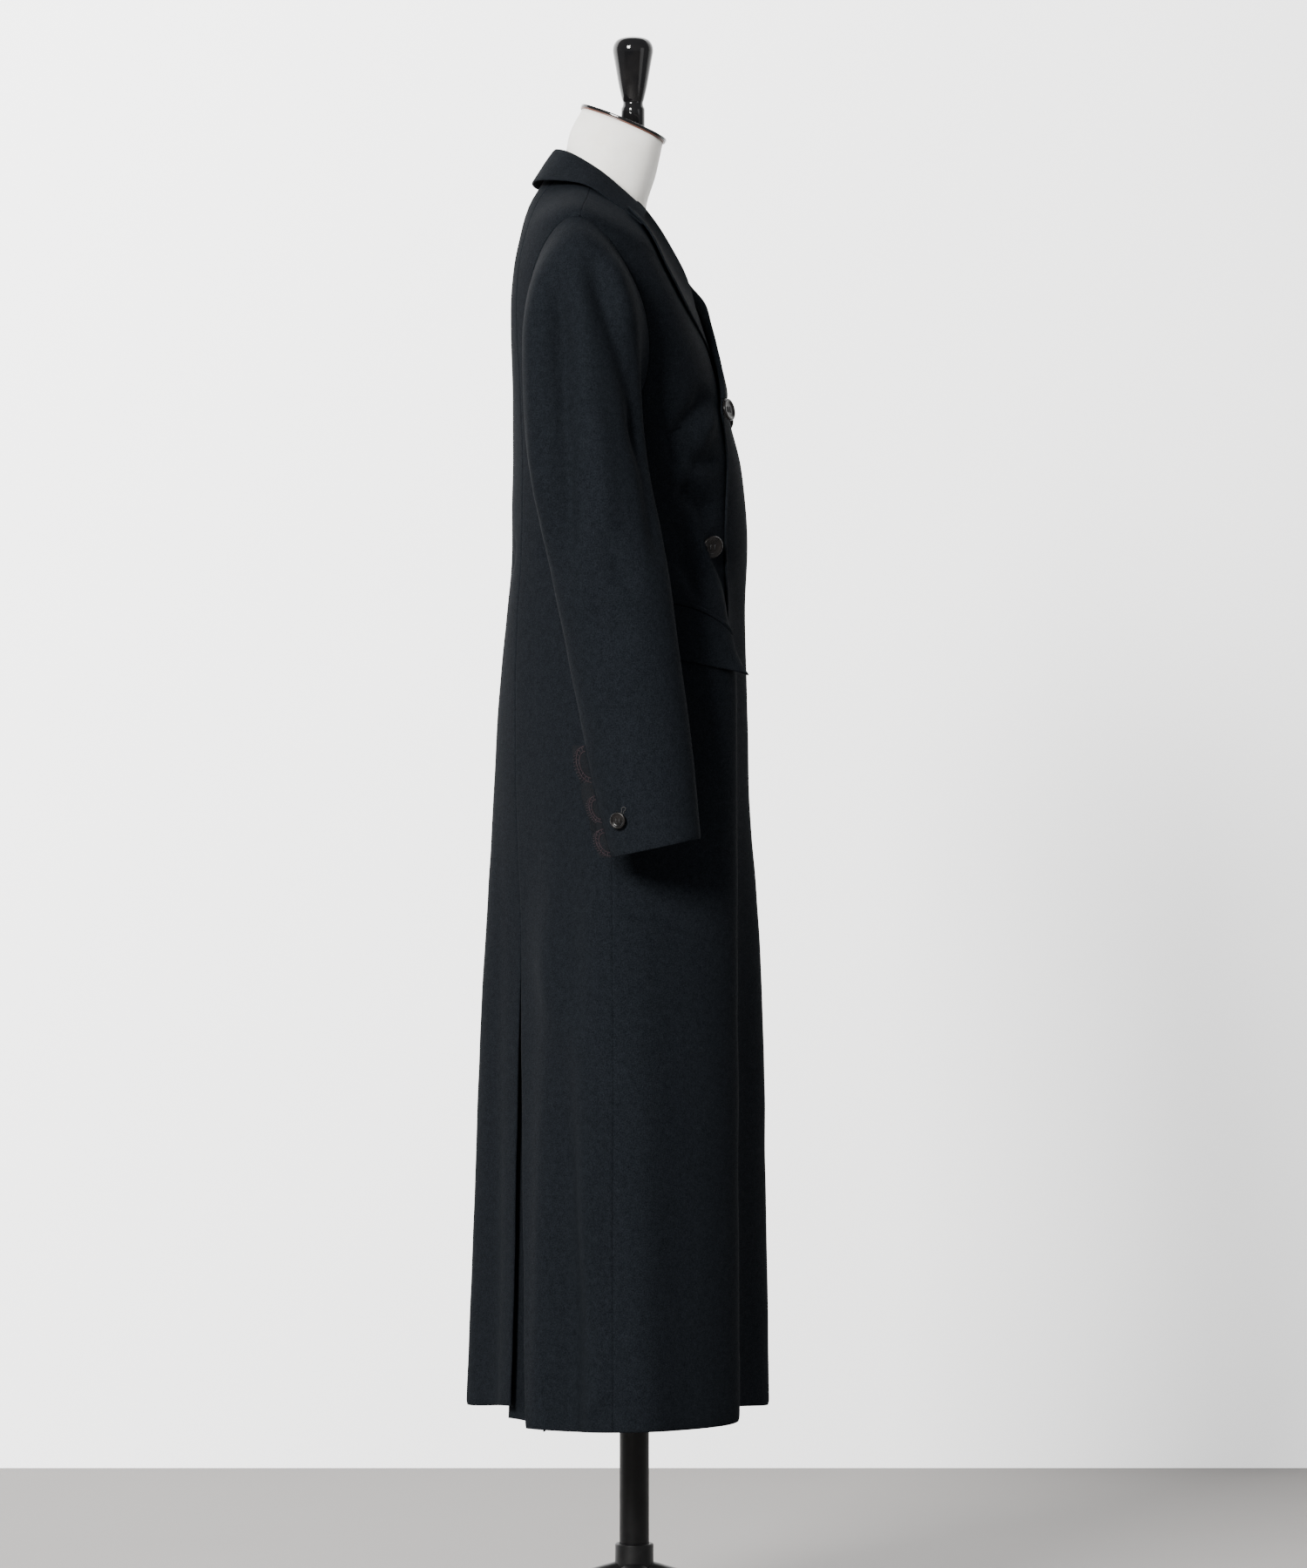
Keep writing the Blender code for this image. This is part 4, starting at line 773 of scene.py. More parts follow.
sleeve = {
    # along, out, y, z of the middle, half depth, back edge rise, outer edge out, outer edge up
    "rows": (
        (0.15, 0.214, 0.0510, 1.312, 0.0585, 0.000, 0.036, 0.088),
        (0.33, 0.226, 0.0445, 1.205, 0.0585, 0.000, 0.045, 0.012),
        (0.48, 0.233, 0.0264, 1.107, 0.0580, 0.000, 0.044, 0.004),
        (0.65, 0.240, 0.0080, 1.003, 0.0540, -0.003, 0.042, 0.000),
        (0.83, 0.247, -0.0085, 0.900, 0.0500, -0.006, 0.040, 0.000),
        (1.00, 0.253, -0.0225, 0.824, 0.0437, -0.0094, 0.037, 0.000)),
    "hindArm": 0.0, "foreArm": 0.54, "mitre": 0.08, "length": 0.62, "round": 0.35,
    "armholeGap": -0.0006, "underarmGap": 0.0008, "steps": 100,
    "topFlat": (0.215, 0.64), "underFlat": (0.165, 0.53), "topArea": 0.106, "underArea": 0.066,
}


armTurns = np.linspace(-0.02, 1.02, 417)


def armholeRing():  # points and normals round the left armhole
    middle = (coat["armFoot"] + coat["armTop"]) / 2
    half = (coat["armTop"] - coat["armFoot"]) / 2
    height = middle + half * np.sin(2 * math.pi * armTurns)
    behind = np.cos(2 * math.pi * armTurns) > 0
    place = np.where(behind, armholePlace(height, True), armholePlace(height, False))
    return np.hstack(surfaceFrame(coatLines, left, place, height))


armRing = armholeRing()


def sleeveFrame(side, turn, along):  # points and their outward normals
    places = np.array([0.0] + [row[0] for row in sleeve["rows"]])
    gaps = np.diff(places)

    def oval(row, t):
        around, outward = np.cos(2 * math.pi * t), np.sin(2 * math.pi * t)
        _, out, y, z, depth, backRise, edgeOut, edgeUp = row
        rise = backRise * around + edgeUp * outward
        return np.stack([out + edgeOut * outward, y + depth * around, z + rise], 1)

    def at(t, a):
        rings = [flowing(armTurns, armRing[:, :3], t)] + [oval(row, t) for row in sleeve["rows"]]
        values = np.stack(rings, 0)
        tangents = flowTangents(gaps, values)
        i = np.clip(np.searchsorted(places, a, side="right") - 1, 0, len(gaps) - 1)
        pick = np.arange(len(t))
        span = gaps[i][:, None]
        u = ((a - places[i]) / gaps[i])[:, None]
        first, last = tangents[i, pick] * span, tangents[i + 1, pick] * span
        return cubic(values[i, pick], values[i + 1, pick], first, last, u) * (side, 1, 1)

    inside = np.clip(along, tinyStep, 1 - tinyStep)
    around = at(turn + tinyStep, inside) - at(turn - tinyStep, inside)
    down = at(turn, inside + tinyStep) - at(turn, inside - tinyStep)
    normal = unit(np.cross(around, down) * side)
    body = flowing(armTurns, armRing[:, 3:], turn) * (side, 1, 1)
    share = smoothStep(0, sleeve["mitre"], along)[:, None]
    return at(turn, along), unit(body * (1 - share) + normal * share)


def makeSleeves():
    for side, word in sides:
        own = () if side == right else (leftCreases["sleeveShift"], leftCreases["sleeveStrength"])
        for kind, columns, start, end in (("top", 44, sleeve["hindArm"], sleeve["foreArm"]),
                                          ("under", 34, sleeve["foreArm"], 1 + sleeve["hindArm"])):
            size = (sleeve["round"] * (end - start), sleeve["length"])

            def place(u, w, extra):
                trim = coat["seam"] / sleeve["round"]
                turn = start + trim + (end - start - 2 * trim) * u
                below = np.clip(-np.sin(2 * math.pi * turn), 0, 1)
                gap = sleeve["armholeGap"] + sleeve["underarmGap"] * below
                along = gap / sleeve["length"] + (1 - gap / sleeve["length"]) * w
                base, normal = sleeveFrame(side, turn, along)
                facing = smoothStep(-0.1, 0.45, np.sin(2 * math.pi * turn))
                lift = creaseLift(base[:, (1, 2)], sleeveCreases, *own) * facing
                lift += wander(base, amount=0.0011, scale=11, seed=13.0 + side) * smoothStep(0, 0.1, along)
                lift += seamDip(u, w, size) + extra
                return base + normal * lift[:, None]

            uKnots, wKnots = edgeKnots(columns, size[0]), edgeKnots(sleeve["steps"], size[1])
            piece = clothPiece(kind + "Sleeve" + word.title(), uKnots, wKnots, place, navyWool, size,
                               coat["cloth"])
            declare(f"{kind}_sleeve_{word}")


makeSleeves()
print("sleeves made")

pocket = {
    "back": 0.615, "front": 0.745, "topBack": 1.062, "topFront": 1.028, "footBack": 1.0065,
    "footFront": 0.989, "cornerLift": 0.010, "footLift": 0.0016, "wave": 0.0012,
    "welt": 0.006, "weltGap": 0.0004, "weltCrown": 0.0008,
    "flapFlat": (0.085, 0.056), "weltFlat": (0.085, 0.010), "flapArea": 0.0043, "weltArea": 0.0007,
}


def makePockets():
    for side, word in sides:
        def onPanel(across, height, lift):
            base, normal = surfaceFrame(coatLines, side, across, height)
            under = frontLift(side, across, height) + panelCreases(side, base) + wander(base)
            return base + normal * (under + lift)[:, None]

        def topLine(u):
            return pocket["topBack"] + (pocket["topFront"] - pocket["topBack"]) * u ** 1.7

        def flap(u, w, extra):
            foot = pocket["footBack"] + (pocket["footFront"] - pocket["footBack"]) * u
            height = topLine(u) + (foot - topLine(u)) * w
            across = pocket["back"] + (pocket["front"] - pocket["back"]) * u
            lift = coat["cloth"] + coat["layerGap"] + pocket["footLift"] * w
            lift += pocket["cornerLift"] * (u * w) ** 3
            lift += pocket["wave"] * w * np.sin(9 * u + 0.6)  # the lower edge is a little wavy
            return onPanel(across, height, lift + extra)

        def welt(u, w, extra):
            height = topLine(u) + pocket["weltGap"] + pocket["welt"] * w
            across = pocket["back"] + (pocket["front"] - pocket["back"]) * u
            crown = pocket["weltCrown"] * np.sin(math.pi * w)
            return onPanel(across, height, coat["cloth"] + coat["layerGap"] + crown + extra)

        for kind, shape, rows in (("flap", flap, 20), ("welt", welt, 8)):
            flat = pocket[kind + "Flat"]
            downKnots = edgeKnots(rows, flat[1]) if kind == "flap" else plainKnots(rows)
            piece = clothPiece("pocket" + kind.title() + word.title(), edgeKnots(30, flat[0]), downKnots,
                               shape, navyWool, flat, coat["cloth"], 1)
            declare(f"pocket_{kind}_{word}")


makePockets()
print("pockets made")

cuffLace = {
    "reach": 0.0140, "gap": 0.0004, "start": 0.777, "columns": 11, "rows": 98, "net": 0.00024,
    "cord": 0.00046, "cordLift": 0.0006, "innerArc": 0.74, "rungShare": 0.7,
    "fringe": 0.00026, "lash": 0.0034, "lashLift": 0.0005, "lashDrop": 0.012,
    "wave": 0.0012, "waves": 14, "scallop": 0.80, "scallopDepth": 0.14, "scallops": 3,
    "flat": (0.0160, 0.132), "area": 0.00170,
    # middle along the strip, half height, reach, all as shares
    "motifs": ((0.15, 0.145, 0.78), (0.54, 0.125, 0.62), (0.86, 0.130, 0.76)),
}


def cord(bm, points, radius, finish=0):  # a round thread along a path
    for start, end in zip(points, points[1:]):
        way = Vector(end) - Vector(start)
        turn = way.to_track_quat("Z", "Y").to_matrix().to_4x4()
        made = bmesh.ops.create_cone(bm, cap_ends=True, segments=7, radius1=radius, radius2=radius,
                                     depth=way.length + radius * 0.8,
                                     matrix=Matrix.Translation((Vector(start) + Vector(end)) / 2) @ turn)
        for face in {face for vert in made["verts"] for face in vert.link_faces}:
            face.material_index, face.smooth = finish, True


def makeCuffLace():
    for side, word in sides:
        def spots(out, w, lift):  # out from the sleeve's back edge, down the vent
            out, w = np.broadcast_arrays(np.asarray(out, float), np.asarray(w, float))
            along = cuffLace["start"] + (1 - cuffLace["start"]) * np.clip(w, 0, 1)
            seat = sleeveFrame(side, np.full_like(along, sleeve["hindArm"]), along)[0]
            seat[:, 0] += side * (lift + cuffLace["wave"] * out * np.sin(cuffLace["waves"] * w))
            seat[:, 1] += cuffLace["gap"] + cuffLace["reach"] * out
            return seat

        bm = bmesh.new()
        columns, rows = cuffLace["columns"], cuffLace["rows"]
        bmesh.ops.create_grid(bm, x_segments=columns, y_segments=rows, size=0.5)
        flat = np.array([vert.co[:2] for vert in bm.verts]) + 0.5
        bows = np.abs(np.sin(math.pi * cuffLace["scallops"] * flat[:, 1] + 0.3))
        scallop = cuffLace["scallop"] + cuffLace["scallopDepth"] * bows
        for vert, point in zip(bm.verts, spots(flat[:, 0] * scallop, flat[:, 1], 0)):
            vert.co = point
        bmesh.ops.wireframe(bm, faces=bm.faces[:], thickness=cuffLace["net"], offset=0, use_replace=True,
                            use_boundary=True, use_even_offset=True)
        for middle, half, reach in cuffLace["motifs"]:
            def inMotif(share, angle):
                out, down = reach * share * np.cos(angle), middle + half * share * np.sin(angle)
                return spots(out, down, cuffLace["cordLift"])

            arcs = np.array((cuffLace["innerArc"], 1.0))
            for share in arcs[::-1]:  # two arcs with a ladder between them
                cord(bm, inMotif(share, np.linspace(-math.pi / 2, math.pi / 2, 17)), cuffLace["cord"], 1)
            for angle in np.linspace(-1.3, 1.3, 9):
                cord(bm, inMotif(arcs, angle), cuffLace["cord"] * cuffLace["rungShare"], 1)
            for angle in np.linspace(-1.15, 1.15, 13):  # lashes past the outer arc
                foot = reach * math.cos(angle)
                tip = foot + cuffLace["lash"] / cuffLace["reach"]
                w = middle + half * math.sin(angle)
                downs = np.array((w, w + cuffLace["lashDrop"]))
                cord(bm, spots(np.array((foot, tip)), downs, cuffLace["lashLift"]), cuffLace["fringe"], 1)
        piece = addPiece("cuffLace" + word.title(), bm, laceNet)
        piece.data.materials.append(plumCord)
        declare("cuff_lace_" + word)


makeCuffLace()
print("lace made")

buttons = {
    "frontRadius": 0.0115, "frontDepth": 0.0040, "cuffRadius": 0.0082, "cuffDepth": 0.0032, "shank": 0.0024,
    "shankRadius": 0.0025, "upperOut": 0.070, "upperHeight": 1.2594, "lowerOut": 0.100, "lowerHeight": 1.120,
    "cuffTurn": 0.140, "cuffAlong": 0.926,
    "upperTurn": (-0.28, 0.04, 0.0), "lowerTurn": (-0.30, 0.18, -0.38), "cuffTurnOut": (-0.35, 0.0, 0.0),
    # forward and up from the cuff button, in metres
    "keyhole": ((0.0045, 0.0085), (0.0062, 0.0110), (0.0066, 0.0136), (0.0080, 0.0158), (0.0104, 0.0164),
                (0.0120, 0.0148), (0.0114, 0.0124), (0.0092, 0.0110), (0.0084, 0.0094), (0.0068, 0.0070)),
    "upperSeat": 0.0003, "lowerRightSeat": 0.0045, "lowerLeftSeat": 0.0035, "cuffSeat": 0.0004,
    "keyholeLift": 0.0007, "keyholeThread": 0.00045,
    # as shares of the radius
    "holeOut": 0.21, "hole": 0.085, "stitch": 0.055,
}


def turnedMesh(profile, steps):
    bm = bmesh.new()
    corners = [bm.verts.new((radius, 0, height)) for radius, height in profile]
    edges = [bm.edges.new(pair) for pair in zip(corners, corners[1:])]
    bmesh.ops.spin(bm, geom=corners + edges, cent=(0, 0, 0), axis=(0, 0, 1), angle=2 * math.pi, steps=steps,
                   use_merge=True)
    bmesh.ops.remove_doubles(bm, verts=bm.verts[:], dist=1e-6)
    bmesh.ops.recalc_face_normals(bm, faces=bm.faces[:])
    return bm


def roundedProfile(points, share=0.35):  # softens a turned profile's corners
    made = [points[0]]
    for before, corner, after in zip(points, points[1:], points[2:]):
        a, b, c = Vector(before), Vector(corner), Vector(after)
        reach = min((b - a).length, (c - b).length) * share
        start, end = b + (a - b).normalized() * reach, b + (c - b).normalized() * reach
        for t in (0.0, 0.33, 0.67, 1.0):
            spot = (1 - t) ** 2 * start + 2 * t * (1 - t) * b + t ** 2 * end
            made.append((spot.x, spot.y))
    made.append(points[-1])
    return made


def makeButton(name, node, radius, depth, seat, normal, gap):
    shank = buttons["shank"]
    # shares of the radius and of the depth, from the middle of the face to the back
    shares = ((0, 0.58), (0.60, 0.62), (0.80, 1), (0.95, 0.92), (1, 0.6), (0.92, 0.2), (0.7, 0))
    profile = [(radius * out, shank + depth * up) for out, up in shares]
    profile += [(buttons["shankRadius"], shank), (buttons["shankRadius"], 0), (0, 0)]
    bm = turnedMesh(roundedProfile(profile), 48)
    normal = Vector(normal).normalized()
    turn = normal.to_track_quat("Z", "Y").to_matrix().to_4x4()
    spot = Matrix.Translation(Vector(seat) + normal * gap) @ turn
    piece = addPiece(name, bm, darkHorn)
    cutters = bmesh.new()
    offset, hole, thick = (radius * buttons[key] for key in ("holeOut", "hole", "stitch"))
    for x, y in ((1, 1), (1, -1), (-1, 1), (-1, -1)):
        drill = Matrix.Translation((x * offset, y * offset, shank + depth * 0.75))
        bmesh.ops.create_cone(cutters, cap_ends=True, segments=16, radius1=hole, radius2=hole, depth=depth,
                              matrix=drill)
    cutterMesh = bpy.data.meshes.new("holes")
    cutters.to_mesh(cutterMesh)
    cutters.free()
    cutter = link(bpy.data.objects.new("holes", cutterMesh))
    cut = piece.modifiers.new("Holes", "BOOLEAN")
    cut.operation, cut.object, cut.solver = "DIFFERENCE", cutter, "EXACT"
    bpy.context.view_layer.update()
    graph = bpy.context.evaluated_depsgraph_get()
    drilled = bpy.data.meshes.new_from_object(piece.evaluated_get(graph))
    piece.modifiers.clear()
    piece.data = drilled
    bpy.data.objects.remove(cutter)
    bpy.data.meshes.remove(cutterMesh)
    drilled.transform(spot)
    drilled.shade_smooth()
    drilled.set_sharp_from_angle(angle=sharpFrom)
    standFor(node)
    # two stitches through the holes
    bm = bmesh.new()
    lying = Matrix.Rotation(math.pi / 2, 4, "X")
    for x in (1, -1):
        stitch = Matrix.Translation((x * offset, 0, shank + depth * 0.64)) @ lying
        bmesh.ops.create_cone(bm, cap_ends=True, segments=10, radius1=thick, radius2=thick,
                              depth=offset * 2.3, matrix=stitch)
    bmesh.ops.bevel(bm, geom=bm.edges[:], offset=radius * 0.015, offset_type="OFFSET", segments=1,
                    profile=0.5, affect="EDGES", material=-1)
    bmesh.ops.transform(bm, matrix=spot, verts=bm.verts[:])
    thread = addPiece(name + "Thread", bm, blackThread)


def makeButtons():
    upper, lower = np.array([buttons["upperHeight"]]), np.array([buttons["lowerHeight"]])
    upperPlace = placeAtOut(upper, np.array([buttons["upperOut"]]))
    lowerPlace = placeAtOut(lower, np.array([buttons["lowerOut"]]))
    spots = (
        ("buttonUpperRight", "button_upper_right", left, 2 * atFront - upperPlace, upper, "upperSeat"),
        ("buttonUpperLeft", "button_upper_left", left, upperPlace, upper, "upperSeat"),
        ("buttonLowerRight", "button_lower_right", right, lowerPlace, lower, "lowerRightSeat"),
        ("buttonLowerLeft", "button_lower_left", left, lowerPlace, lower, "lowerLeftSeat"),
    )
    for name, node, side, across, height, seatName in spots:
        lift = frontLift(side, across, height)
        lift += panelCreases(side, raised(coatLines, side, across, height, 0 * lift))
        seat = raised(coatLines, side, across, height, lift)[0]
        normal = raised(coatLines, side, across, height, lift + 1)[0] - seat
        sag = buttons["upperTurn" if "Upper" in name else "lowerTurn"]  # each hangs a little out of true
        normal += np.array(sag) * (1 if "Right" in name else -1, 1, 1)
        makeButton(name, node, buttons["frontRadius"], buttons["frontDepth"], seat, normal, buttons[seatName])
    for side, word in sides:
        turn, along = np.array([buttons["cuffTurn"]]), np.array([buttons["cuffAlong"]])
        seat, normal = (part[0] for part in sleeveFrame(side, turn, along))
        normal = normal + np.array(buttons["cuffTurnOut"]) * (-side, 1, 1)
        makeButton("cuffButton" + word.title(), "cuff_button_" + word, buttons["cuffRadius"],
                   buttons["cuffDepth"], seat, normal, buttons["cuffSeat"])
        # a keyhole buttonhole stitched in the sleeve above the button
        turns, downs = (np.array(buttons["keyhole"])[:, column] for column in (0, 1))
        edge, outward = sleeveFrame(side, turn + turns / sleeve["round"], along - downs / sleeve["length"])
        bm = bmesh.new()
        cord(bm, edge + outward * buttons["keyholeLift"], buttons["keyholeThread"])
        hole = addPiece("cuffKeyhole" + word.title(), bm, blackThread)


makeButtons()
print("buttons made")

dressForm = {
    # height, half width, y at the side, back y, front y
    "below": (
        (0.80, 0.150, 0.020, 0.105, -0.070), (0.86, 0.160, 0.020, 0.112, -0.080),
        (0.95, 0.156, 0.020, 0.110, -0.080), (1.04, 0.132, 0.016, 0.097, -0.072),
        (1.115, 0.116, 0.012, 0.088, -0.064), (1.19, 0.124, 0.016, 0.096, -0.068),
        (1.27, 0.142, 0.026, 0.108, -0.068)),
    # height in the rows, its levels at the back, side and front, then as above
    "neck": (
        (1.53, 1.520, 1.503, 1.470, 0.055, 0.036, 0.0710, -0.0120),
        (1.56, 1.545, 1.528, 1.505, 0.052, 0.028, 0.066, -0.022),
        (1.59, 1.571, 1.554, 1.537, 0.043, 0.012, 0.053, -0.029)),
    "inset": np.array(((0.80, 0.0), (1.27, 0.0), (1.36, 0.012), (1.405, 0.014), (1.44, 0.012), (1.47, 0.006),
                       (1.50, 0.008), (1.53, 0.0), (1.60, 0.0))),
    "shouldersFrom": 1.36, "fullness": 2.3, "poleRadius": 0.015, "poleFoot": 0.060, "poleTop": 0.845,
    "gap": 0.0003, "rimTop": 0.0013, "capDepth": 0.004, "capOverhang": 0.0025,
    "finialTop": 1.645, "finialY": 0.0013,
    "finialSunk": 0.012, "rimRadius": 0.042, "capBevel": 0.0008, "rimBevel": 0.0002,
    # radius and distance below the top
    "finial": ((0, 0), (0.009, 0.0006), (0.0165, 0.003), (0.0200, 0.0085), (0.0208, 0.014),
               (0.0198, 0.020), (0.0180, 0.030), (0.0145, 0.050), (0.0112, 0.064), (0.0100, 0.067),
               (0.0104, 0.070), (0.0120, 0.073)),
}


def formLines():
    turns = {"centreBack": 0.0, "pleatBack": 0.28, "pleatSide": 0.28, "sideSeam": 1.0,
             "frontRidge": 1.55, "frontEdge": 1.76, "centreFront": 2.0}
    lines, power = {}, 2 / dressForm["fullness"]
    for name, turn in turns.items():
        angle = turn * math.pi / 2
        outward, along = max(math.sin(angle), 0) ** power, abs(math.cos(angle)) ** power

        def oval(row):
            height, backZ, sideZ, frontZ, halfWidth, ySide, back, front = row
            reach, reachZ = (back, backZ) if turn < 1 else (front, frontZ)
            y, z = ySide + (reach - ySide) * along, sideZ + (reachZ - sideZ) * along
            return height, halfWidth * outward, y, z

        shoulders = [tuple(row) for row in coatLines[name] if row[0] >= dressForm["shouldersFrom"]]
        below = [oval((row[0],) * 4 + row[1:]) for row in dressForm["below"]]
        lines[name] = np.array(below + shoulders + [oval(row) for row in dressForm["neck"]])
    return lines


def torsoRing(lines, height, count):
    turns = np.arange(count) / count * 2
    across = np.where(turns <= 1, turns, 2 - turns)
    heights = np.full(count, height)
    depth = -eased(dressForm["inset"][:, 0], dressForm["inset"][:, 1], heights)
    points = np.empty((count, 3))
    for side, mine in ((right, turns <= 1), (left, turns > 1)):
        for centrePanel in (True, False):
            here = mine & ((across < atPrincess) == centrePanel)
            points[here] = raised(lines, side, across[here], heights[here], depth[here], centrePanel)
    return points


def makeDressForm():
    lines, count = formLines(), 96
    bm = bmesh.new()

    def ring(target, points):
        made = bmesh.ops.create_circle(target, segments=count, radius=1)["verts"]
        for vert, point in zip(made, points):
            vert.co = point
        return list({edge for vert in made for edge in vert.link_edges})

    levels = np.concatenate([np.linspace(0.80, 1.36, 34), np.linspace(1.37, 1.59, 44)])
    loops = [ring(bm, torsoRing(lines, level, count)) for level in levels]
    for first, second in zip(loops, loops[1:]):
        bmesh.ops.bridge_loops(bm, edges=first + second)
    bmesh.ops.edgeloop_fill(bm, edges=loops[0])
    bmesh.ops.edgeloop_fill(bm, edges=loops[-1])
    bmesh.ops.recalc_face_normals(bm, faces=bm.faces[:])
    uvLayer = bm.loops.layers.uv.new("cut")
    for face in bm.faces:
        for loop in face.loops:
            spot = loop.vert.co
            loop[uvLayer].uv = (math.atan2(spot.x, spot.y - 0.015) * 0.06, spot.z)
    torso = addPiece("formTorso", bm, creamLinen)
    standFor("torso")

    rim = torsoRing(lines, dressForm["neck"][-1][0], count)
    middle = rim.mean(axis=0)
    slant = np.cross(rim[count // 4] - rim[count * 3 // 4], rim[0] - rim[count // 2])
    slant *= np.sign(slant[2]) / np.linalg.norm(slant)

    def plate(name, finish, overhang, low, high, bevel):
        plateBm = bmesh.new()
        spread = middle + (rim - middle) * (1 + overhang / dressForm["rimRadius"])
        loopsHere = [ring(plateBm, spread + slant * level) for level in (low, high)]
        bmesh.ops.bridge_loops(plateBm, edges=loopsHere[0] + loopsHere[1])
        for loop in loopsHere:
            bmesh.ops.edgeloop_fill(plateBm, edges=loop)
        bmesh.ops.recalc_face_normals(plateBm, faces=plateBm.faces[:])
        rims = [edge for edge in plateBm.edges if edge.is_manifold and edge.calc_face_angle() > 1]
        bmesh.ops.bevel(plateBm, geom=rims, offset=bevel, offset_type="OFFSET", segments=3, profile=0.5,
                        affect="EDGES", material=-1)
        return addPiece(name, plateBm, finish)

    gap, rimTop, capTop = dressForm["gap"], dressForm["rimTop"], dressForm["gap"] + dressForm["capDepth"]
    overhang, bevel = dressForm["capOverhang"], dressForm["capBevel"]
    cap = plate("neckCap", blackLacquer, overhang, rimTop, capTop, bevel)
    standFor("neck_cap")
    band = plate("neckCapRim", capRim, overhang - bevel, gap, rimTop, dressForm["rimBevel"])

    z = dressForm["finialTop"]
    seat = middle + slant * (capTop + gap)
    profile = [(radius, z - drop) for radius, drop in dressForm["finial"]]
    sunk = seat[2] - dressForm["finialSunk"]
    profile += [(profile[-1][0], sunk), (0, sunk)]
    bm = turnedMesh(roundedProfile(profile, 0.45), 64)
    bmesh.ops.translate(bm, verts=bm.verts[:], vec=(0, dressForm["finialY"], 0))
    cut = bmesh.ops.bisect_plane(bm, geom=bm.verts[:] + bm.edges[:] + bm.faces[:], plane_co=seat,
                                 plane_no=slant, clear_inner=True)["geom_cut"]
    bmesh.ops.edgeloop_fill(bm, edges=[item for item in cut if isinstance(item, bmesh.types.BMEdge)])
    bmesh.ops.recalc_face_normals(bm, faces=bm.faces[:])
    finial = addPiece("finial", bm, blackLacquer)
    standFor("finial")


makeDressForm()

stand = {
    "hubRadius": 0.0195, "hubFoot": 0.045, "hubTop": 0.115, "hubChamfer": 0.001, "hubHeel": 0.004,
    "legReach": 0.300, "legCrown": 0.004,
    # distance from the pole, underside, top, half width
    "leg": np.array((
        (0.0198, 0.056, 0.096, 0.0130), (0.0900, 0.044, 0.076, 0.0120), (0.1700, 0.026, 0.054, 0.0115),
        (0.2400, 0.010, 0.036, 0.0120), (0.2600, 0.000, 0.030, 0.0140), (0.3000, 0.000, 0.018, 0.0140))),
}


def makeStand():
    radius, top, foot = dressForm["poleRadius"], dressForm["poleTop"], dressForm["poleFoot"]
    rod = ((0, top), (radius, top), (radius, foot), (0, foot))
    pole = addPiece("pole", turnedMesh(roundedProfile(rod, 0.04), 48), blackIron)
    hubRadius, hubTop, hubFoot = stand["hubRadius"], stand["hubTop"], stand["hubFoot"]
    bore, floor = radius + dressForm["gap"], foot - dressForm["gap"]
    chamfer, heel = stand["hubChamfer"], stand["hubHeel"]
    cup = ((0, floor), (bore, floor), (bore, hubTop), (hubRadius - chamfer, hubTop),
           (hubRadius, hubTop - chamfer), (hubRadius, hubFoot + heel), (hubRadius - heel, hubFoot),
           (0, hubFoot))
    hub = addPiece("baseHub", turnedMesh(roundedProfile(cup, 0.3), 48), blackIron)
    for piece, node in ((pole, "pole"), (hub, "base_hub")):
        piece.data.set_sharp_from_angle(angle=sharpFrom)
        standFor(node)
    for word, turn in (("front", 0), ("right", 1), ("back", 2), ("left", 3)):
        angle = -turn * math.pi / 2
        bm = bmesh.new()
        bmesh.ops.create_grid(bm, x_segments=10, y_segments=40, size=0.5)
        upper = bmesh.ops.extrude_face_region(bm, geom=bm.faces[:], use_keep_orig=True)
        for item in upper["geom"]:
            if isinstance(item, bmesh.types.BMVert):
                item.co.z = 1
        bmesh.ops.recalc_face_normals(bm, faces=bm.faces[:])
        flat = np.array([vert.co[:] for vert in bm.verts])
        u, w, layer = flat[:, 0] + 0.5, flat[:, 1] + 0.5, flat[:, 2]
        legs = stand["leg"]
        reach = legs[0, 0] + (stand["legReach"] - legs[0, 0]) * w
        low, high, half = (eased(legs[:, 0], legs[:, column], reach) for column in (1, 2, 3))
        sideways = (u - 0.5) * 2 * half
        z = np.where(layer > 0.5, high - stand["legCrown"] * np.abs(2 * u - 1) ** 3, low)
        hollow = hubRadius - np.sqrt(np.maximum(hubRadius ** 2 - sideways ** 2, 0))
        reach = reach - np.where(w < 1e-6, hollow, 0)
        x = sideways * math.cos(angle) + reach * math.sin(angle)
        y = sideways * math.sin(angle) - reach * math.cos(angle)
        for vert, point in zip(bm.verts, np.stack([x, y, z], 1)):
            vert.co = point
        if bm.calc_volume(signed=True) < 0:
            bmesh.ops.reverse_faces(bm, faces=bm.faces[:])
        leg = addPiece("leg" + word.title(), bm, blackIron)
        leg.data.set_sharp_from_angle(angle=sharpFrom)
        standFor("base_leg_" + word)


makeStand()
print("dress form made")

# the wall's glow and its slope are painted light on the backdrop, brighter to the left and above
studio = {
    "wallX": 1.65, "floorTone": (0.250, 0.238, 0.229), "wallTone": (0.84, 0.84, 0.84), "paintedGlow": 3.3,
    "air": (0.93, 0.96, 1.0, 1), "airStrength": 0.36, "aim": (0, 0, 0.95), "paintedGlowSlope": (0, 0.26, 0.18),
    "lens": 135.6, "sensor": 36, "farthest": 60, "cameraPlace": (-6.0, -0.0195, 0.886),
}


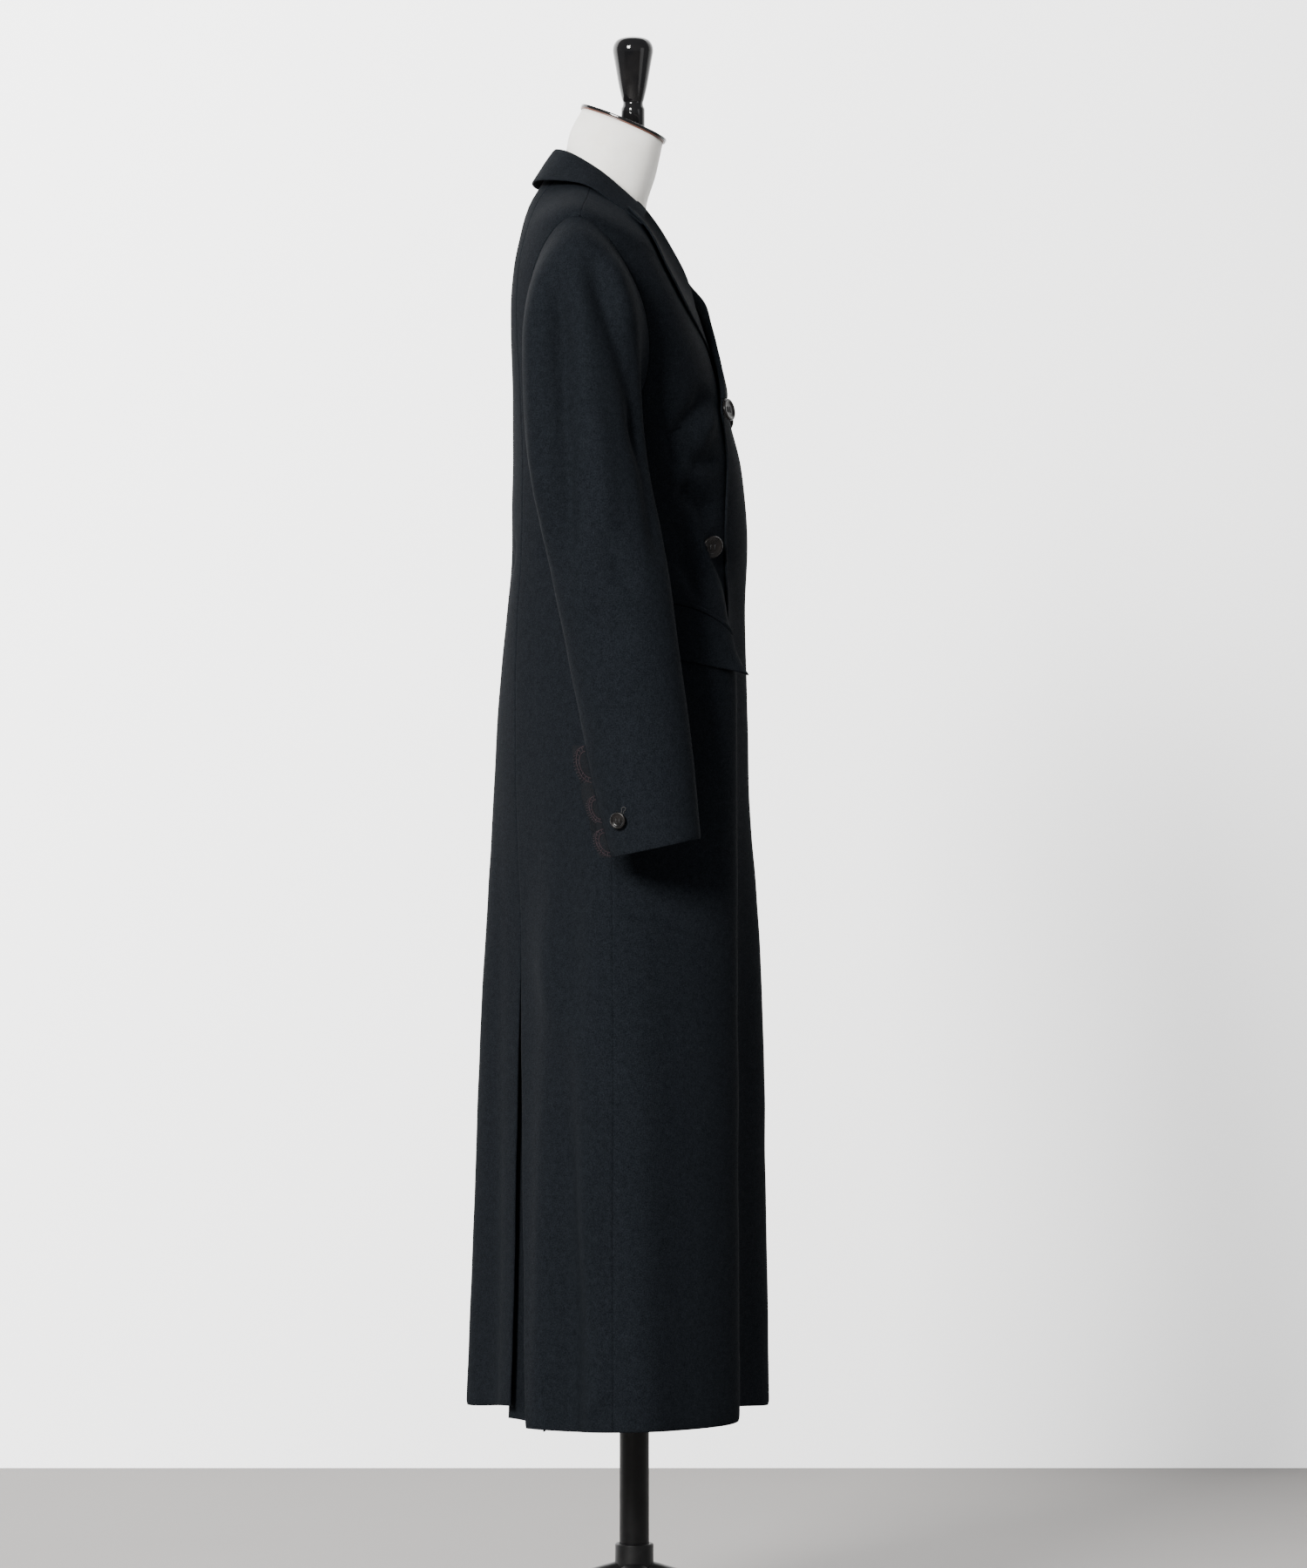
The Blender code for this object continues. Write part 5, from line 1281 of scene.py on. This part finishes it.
def makeStage():
    x = studio["wallX"]
    for name, tone, verts in (
            ("floor", studio["floorTone"], ((-9, -7, 0), (x, -7, 0), (x, 7, 0), (-9, 7, 0))),
            ("wall", studio["wallTone"], ((x, -7, 0), (x, -7, 5), (x, 7, 5), (x, 7, 0)))):
        made, tree, shader = newFinish("studio " + name)
        coords = addNode(tree, "ShaderNodeTexCoord")
        cloud = noiseNode(tree, coords.outputs["Object"], 3, 4)
        colour = rampNode(tree, cloud.outputs["Fac"], ((0.3, tuple(0.97 * c for c in tone)), (0.7, tone)))
        tree.links.new(colour.outputs["Color"], shader.inputs["Base Color"])
        socket(shader, "Roughness", 0.7)
        if name == "wall":  # a backdrop glowing with painted light, brighter to the left and above
            slope = addNode(tree, "ShaderNodeVectorMath", operation="DOT_PRODUCT")
            socket(slope, 1, studio["paintedGlowSlope"])
            tree.links.new(coords.outputs["Object"], slope.inputs[0])
            share = addNode(tree, "ShaderNodeMapRange")
            socket(share, "From Min", -0.20)
            socket(share, "From Max", 0.54)
            tree.links.new(slope.outputs["Value"], share.inputs["Value"])
            paintedGlow = rampNode(tree, share.outputs["Result"], ((0.0, (0.24,) * 3), (1.0, (1.0,) * 3)))
            tree.links.new(paintedGlow.outputs["Color"], shader.inputs["Emission Color"])
            socket(shader, "Emission Strength", studio["paintedGlow"])
        bm = bmesh.new()
        bm.faces.new([bm.verts.new(v) for v in verts])
        mesh = bpy.data.meshes.new("studio" + name.title())
        bm.to_mesh(mesh)
        bm.free()
        mesh.materials.append(made)
        link(bpy.data.objects.new("studio" + name.title(), mesh))


makeStage()


def areaLight(name, place, size, power, tone=(1, 1, 1)):
    light = bpy.data.lights.new(name, "AREA")
    light.shape, light.size, light.size_y = "RECTANGLE", size[0], size[1]
    light.energy, light.color = power, tone
    lamp = link(bpy.data.objects.new(name, light))
    lamp.location = place
    lamp.rotation_euler = (Vector(studio["aim"]) - Vector(place)).to_track_quat("-Z", "Y").to_euler()


def makeLight():
    world = bpy.data.worlds.new("studio air")
    world.use_nodes = True
    socket(world.node_tree.nodes["Background"], "Color", studio["air"])
    socket(world.node_tree.nodes["Background"], "Strength", studio["airStrength"])
    bpy.context.scene.world = world
    areaLight("key", (-4.4, 2.1, 2.9), (1.3, 1.3), 700, (1.0, 0.99, 0.97))
    areaLight("fill", (-2.6, -3.6, 1.3), (1.6, 2.2), 14)


makeLight()


def makeCamera():
    lens = bpy.data.cameras.new("photo view")
    lens.lens, lens.sensor_width, lens.sensor_fit = studio["lens"], studio["sensor"], "AUTO"
    lens.clip_end = studio["farthest"]
    camera = link(bpy.data.objects.new("photo view", lens))
    camera.location = studio["cameraPlace"]
    camera.rotation_euler = (math.pi / 2, 0, -math.pi / 2)
    bpy.context.scene.camera = camera


makeCamera()
print("studio made")
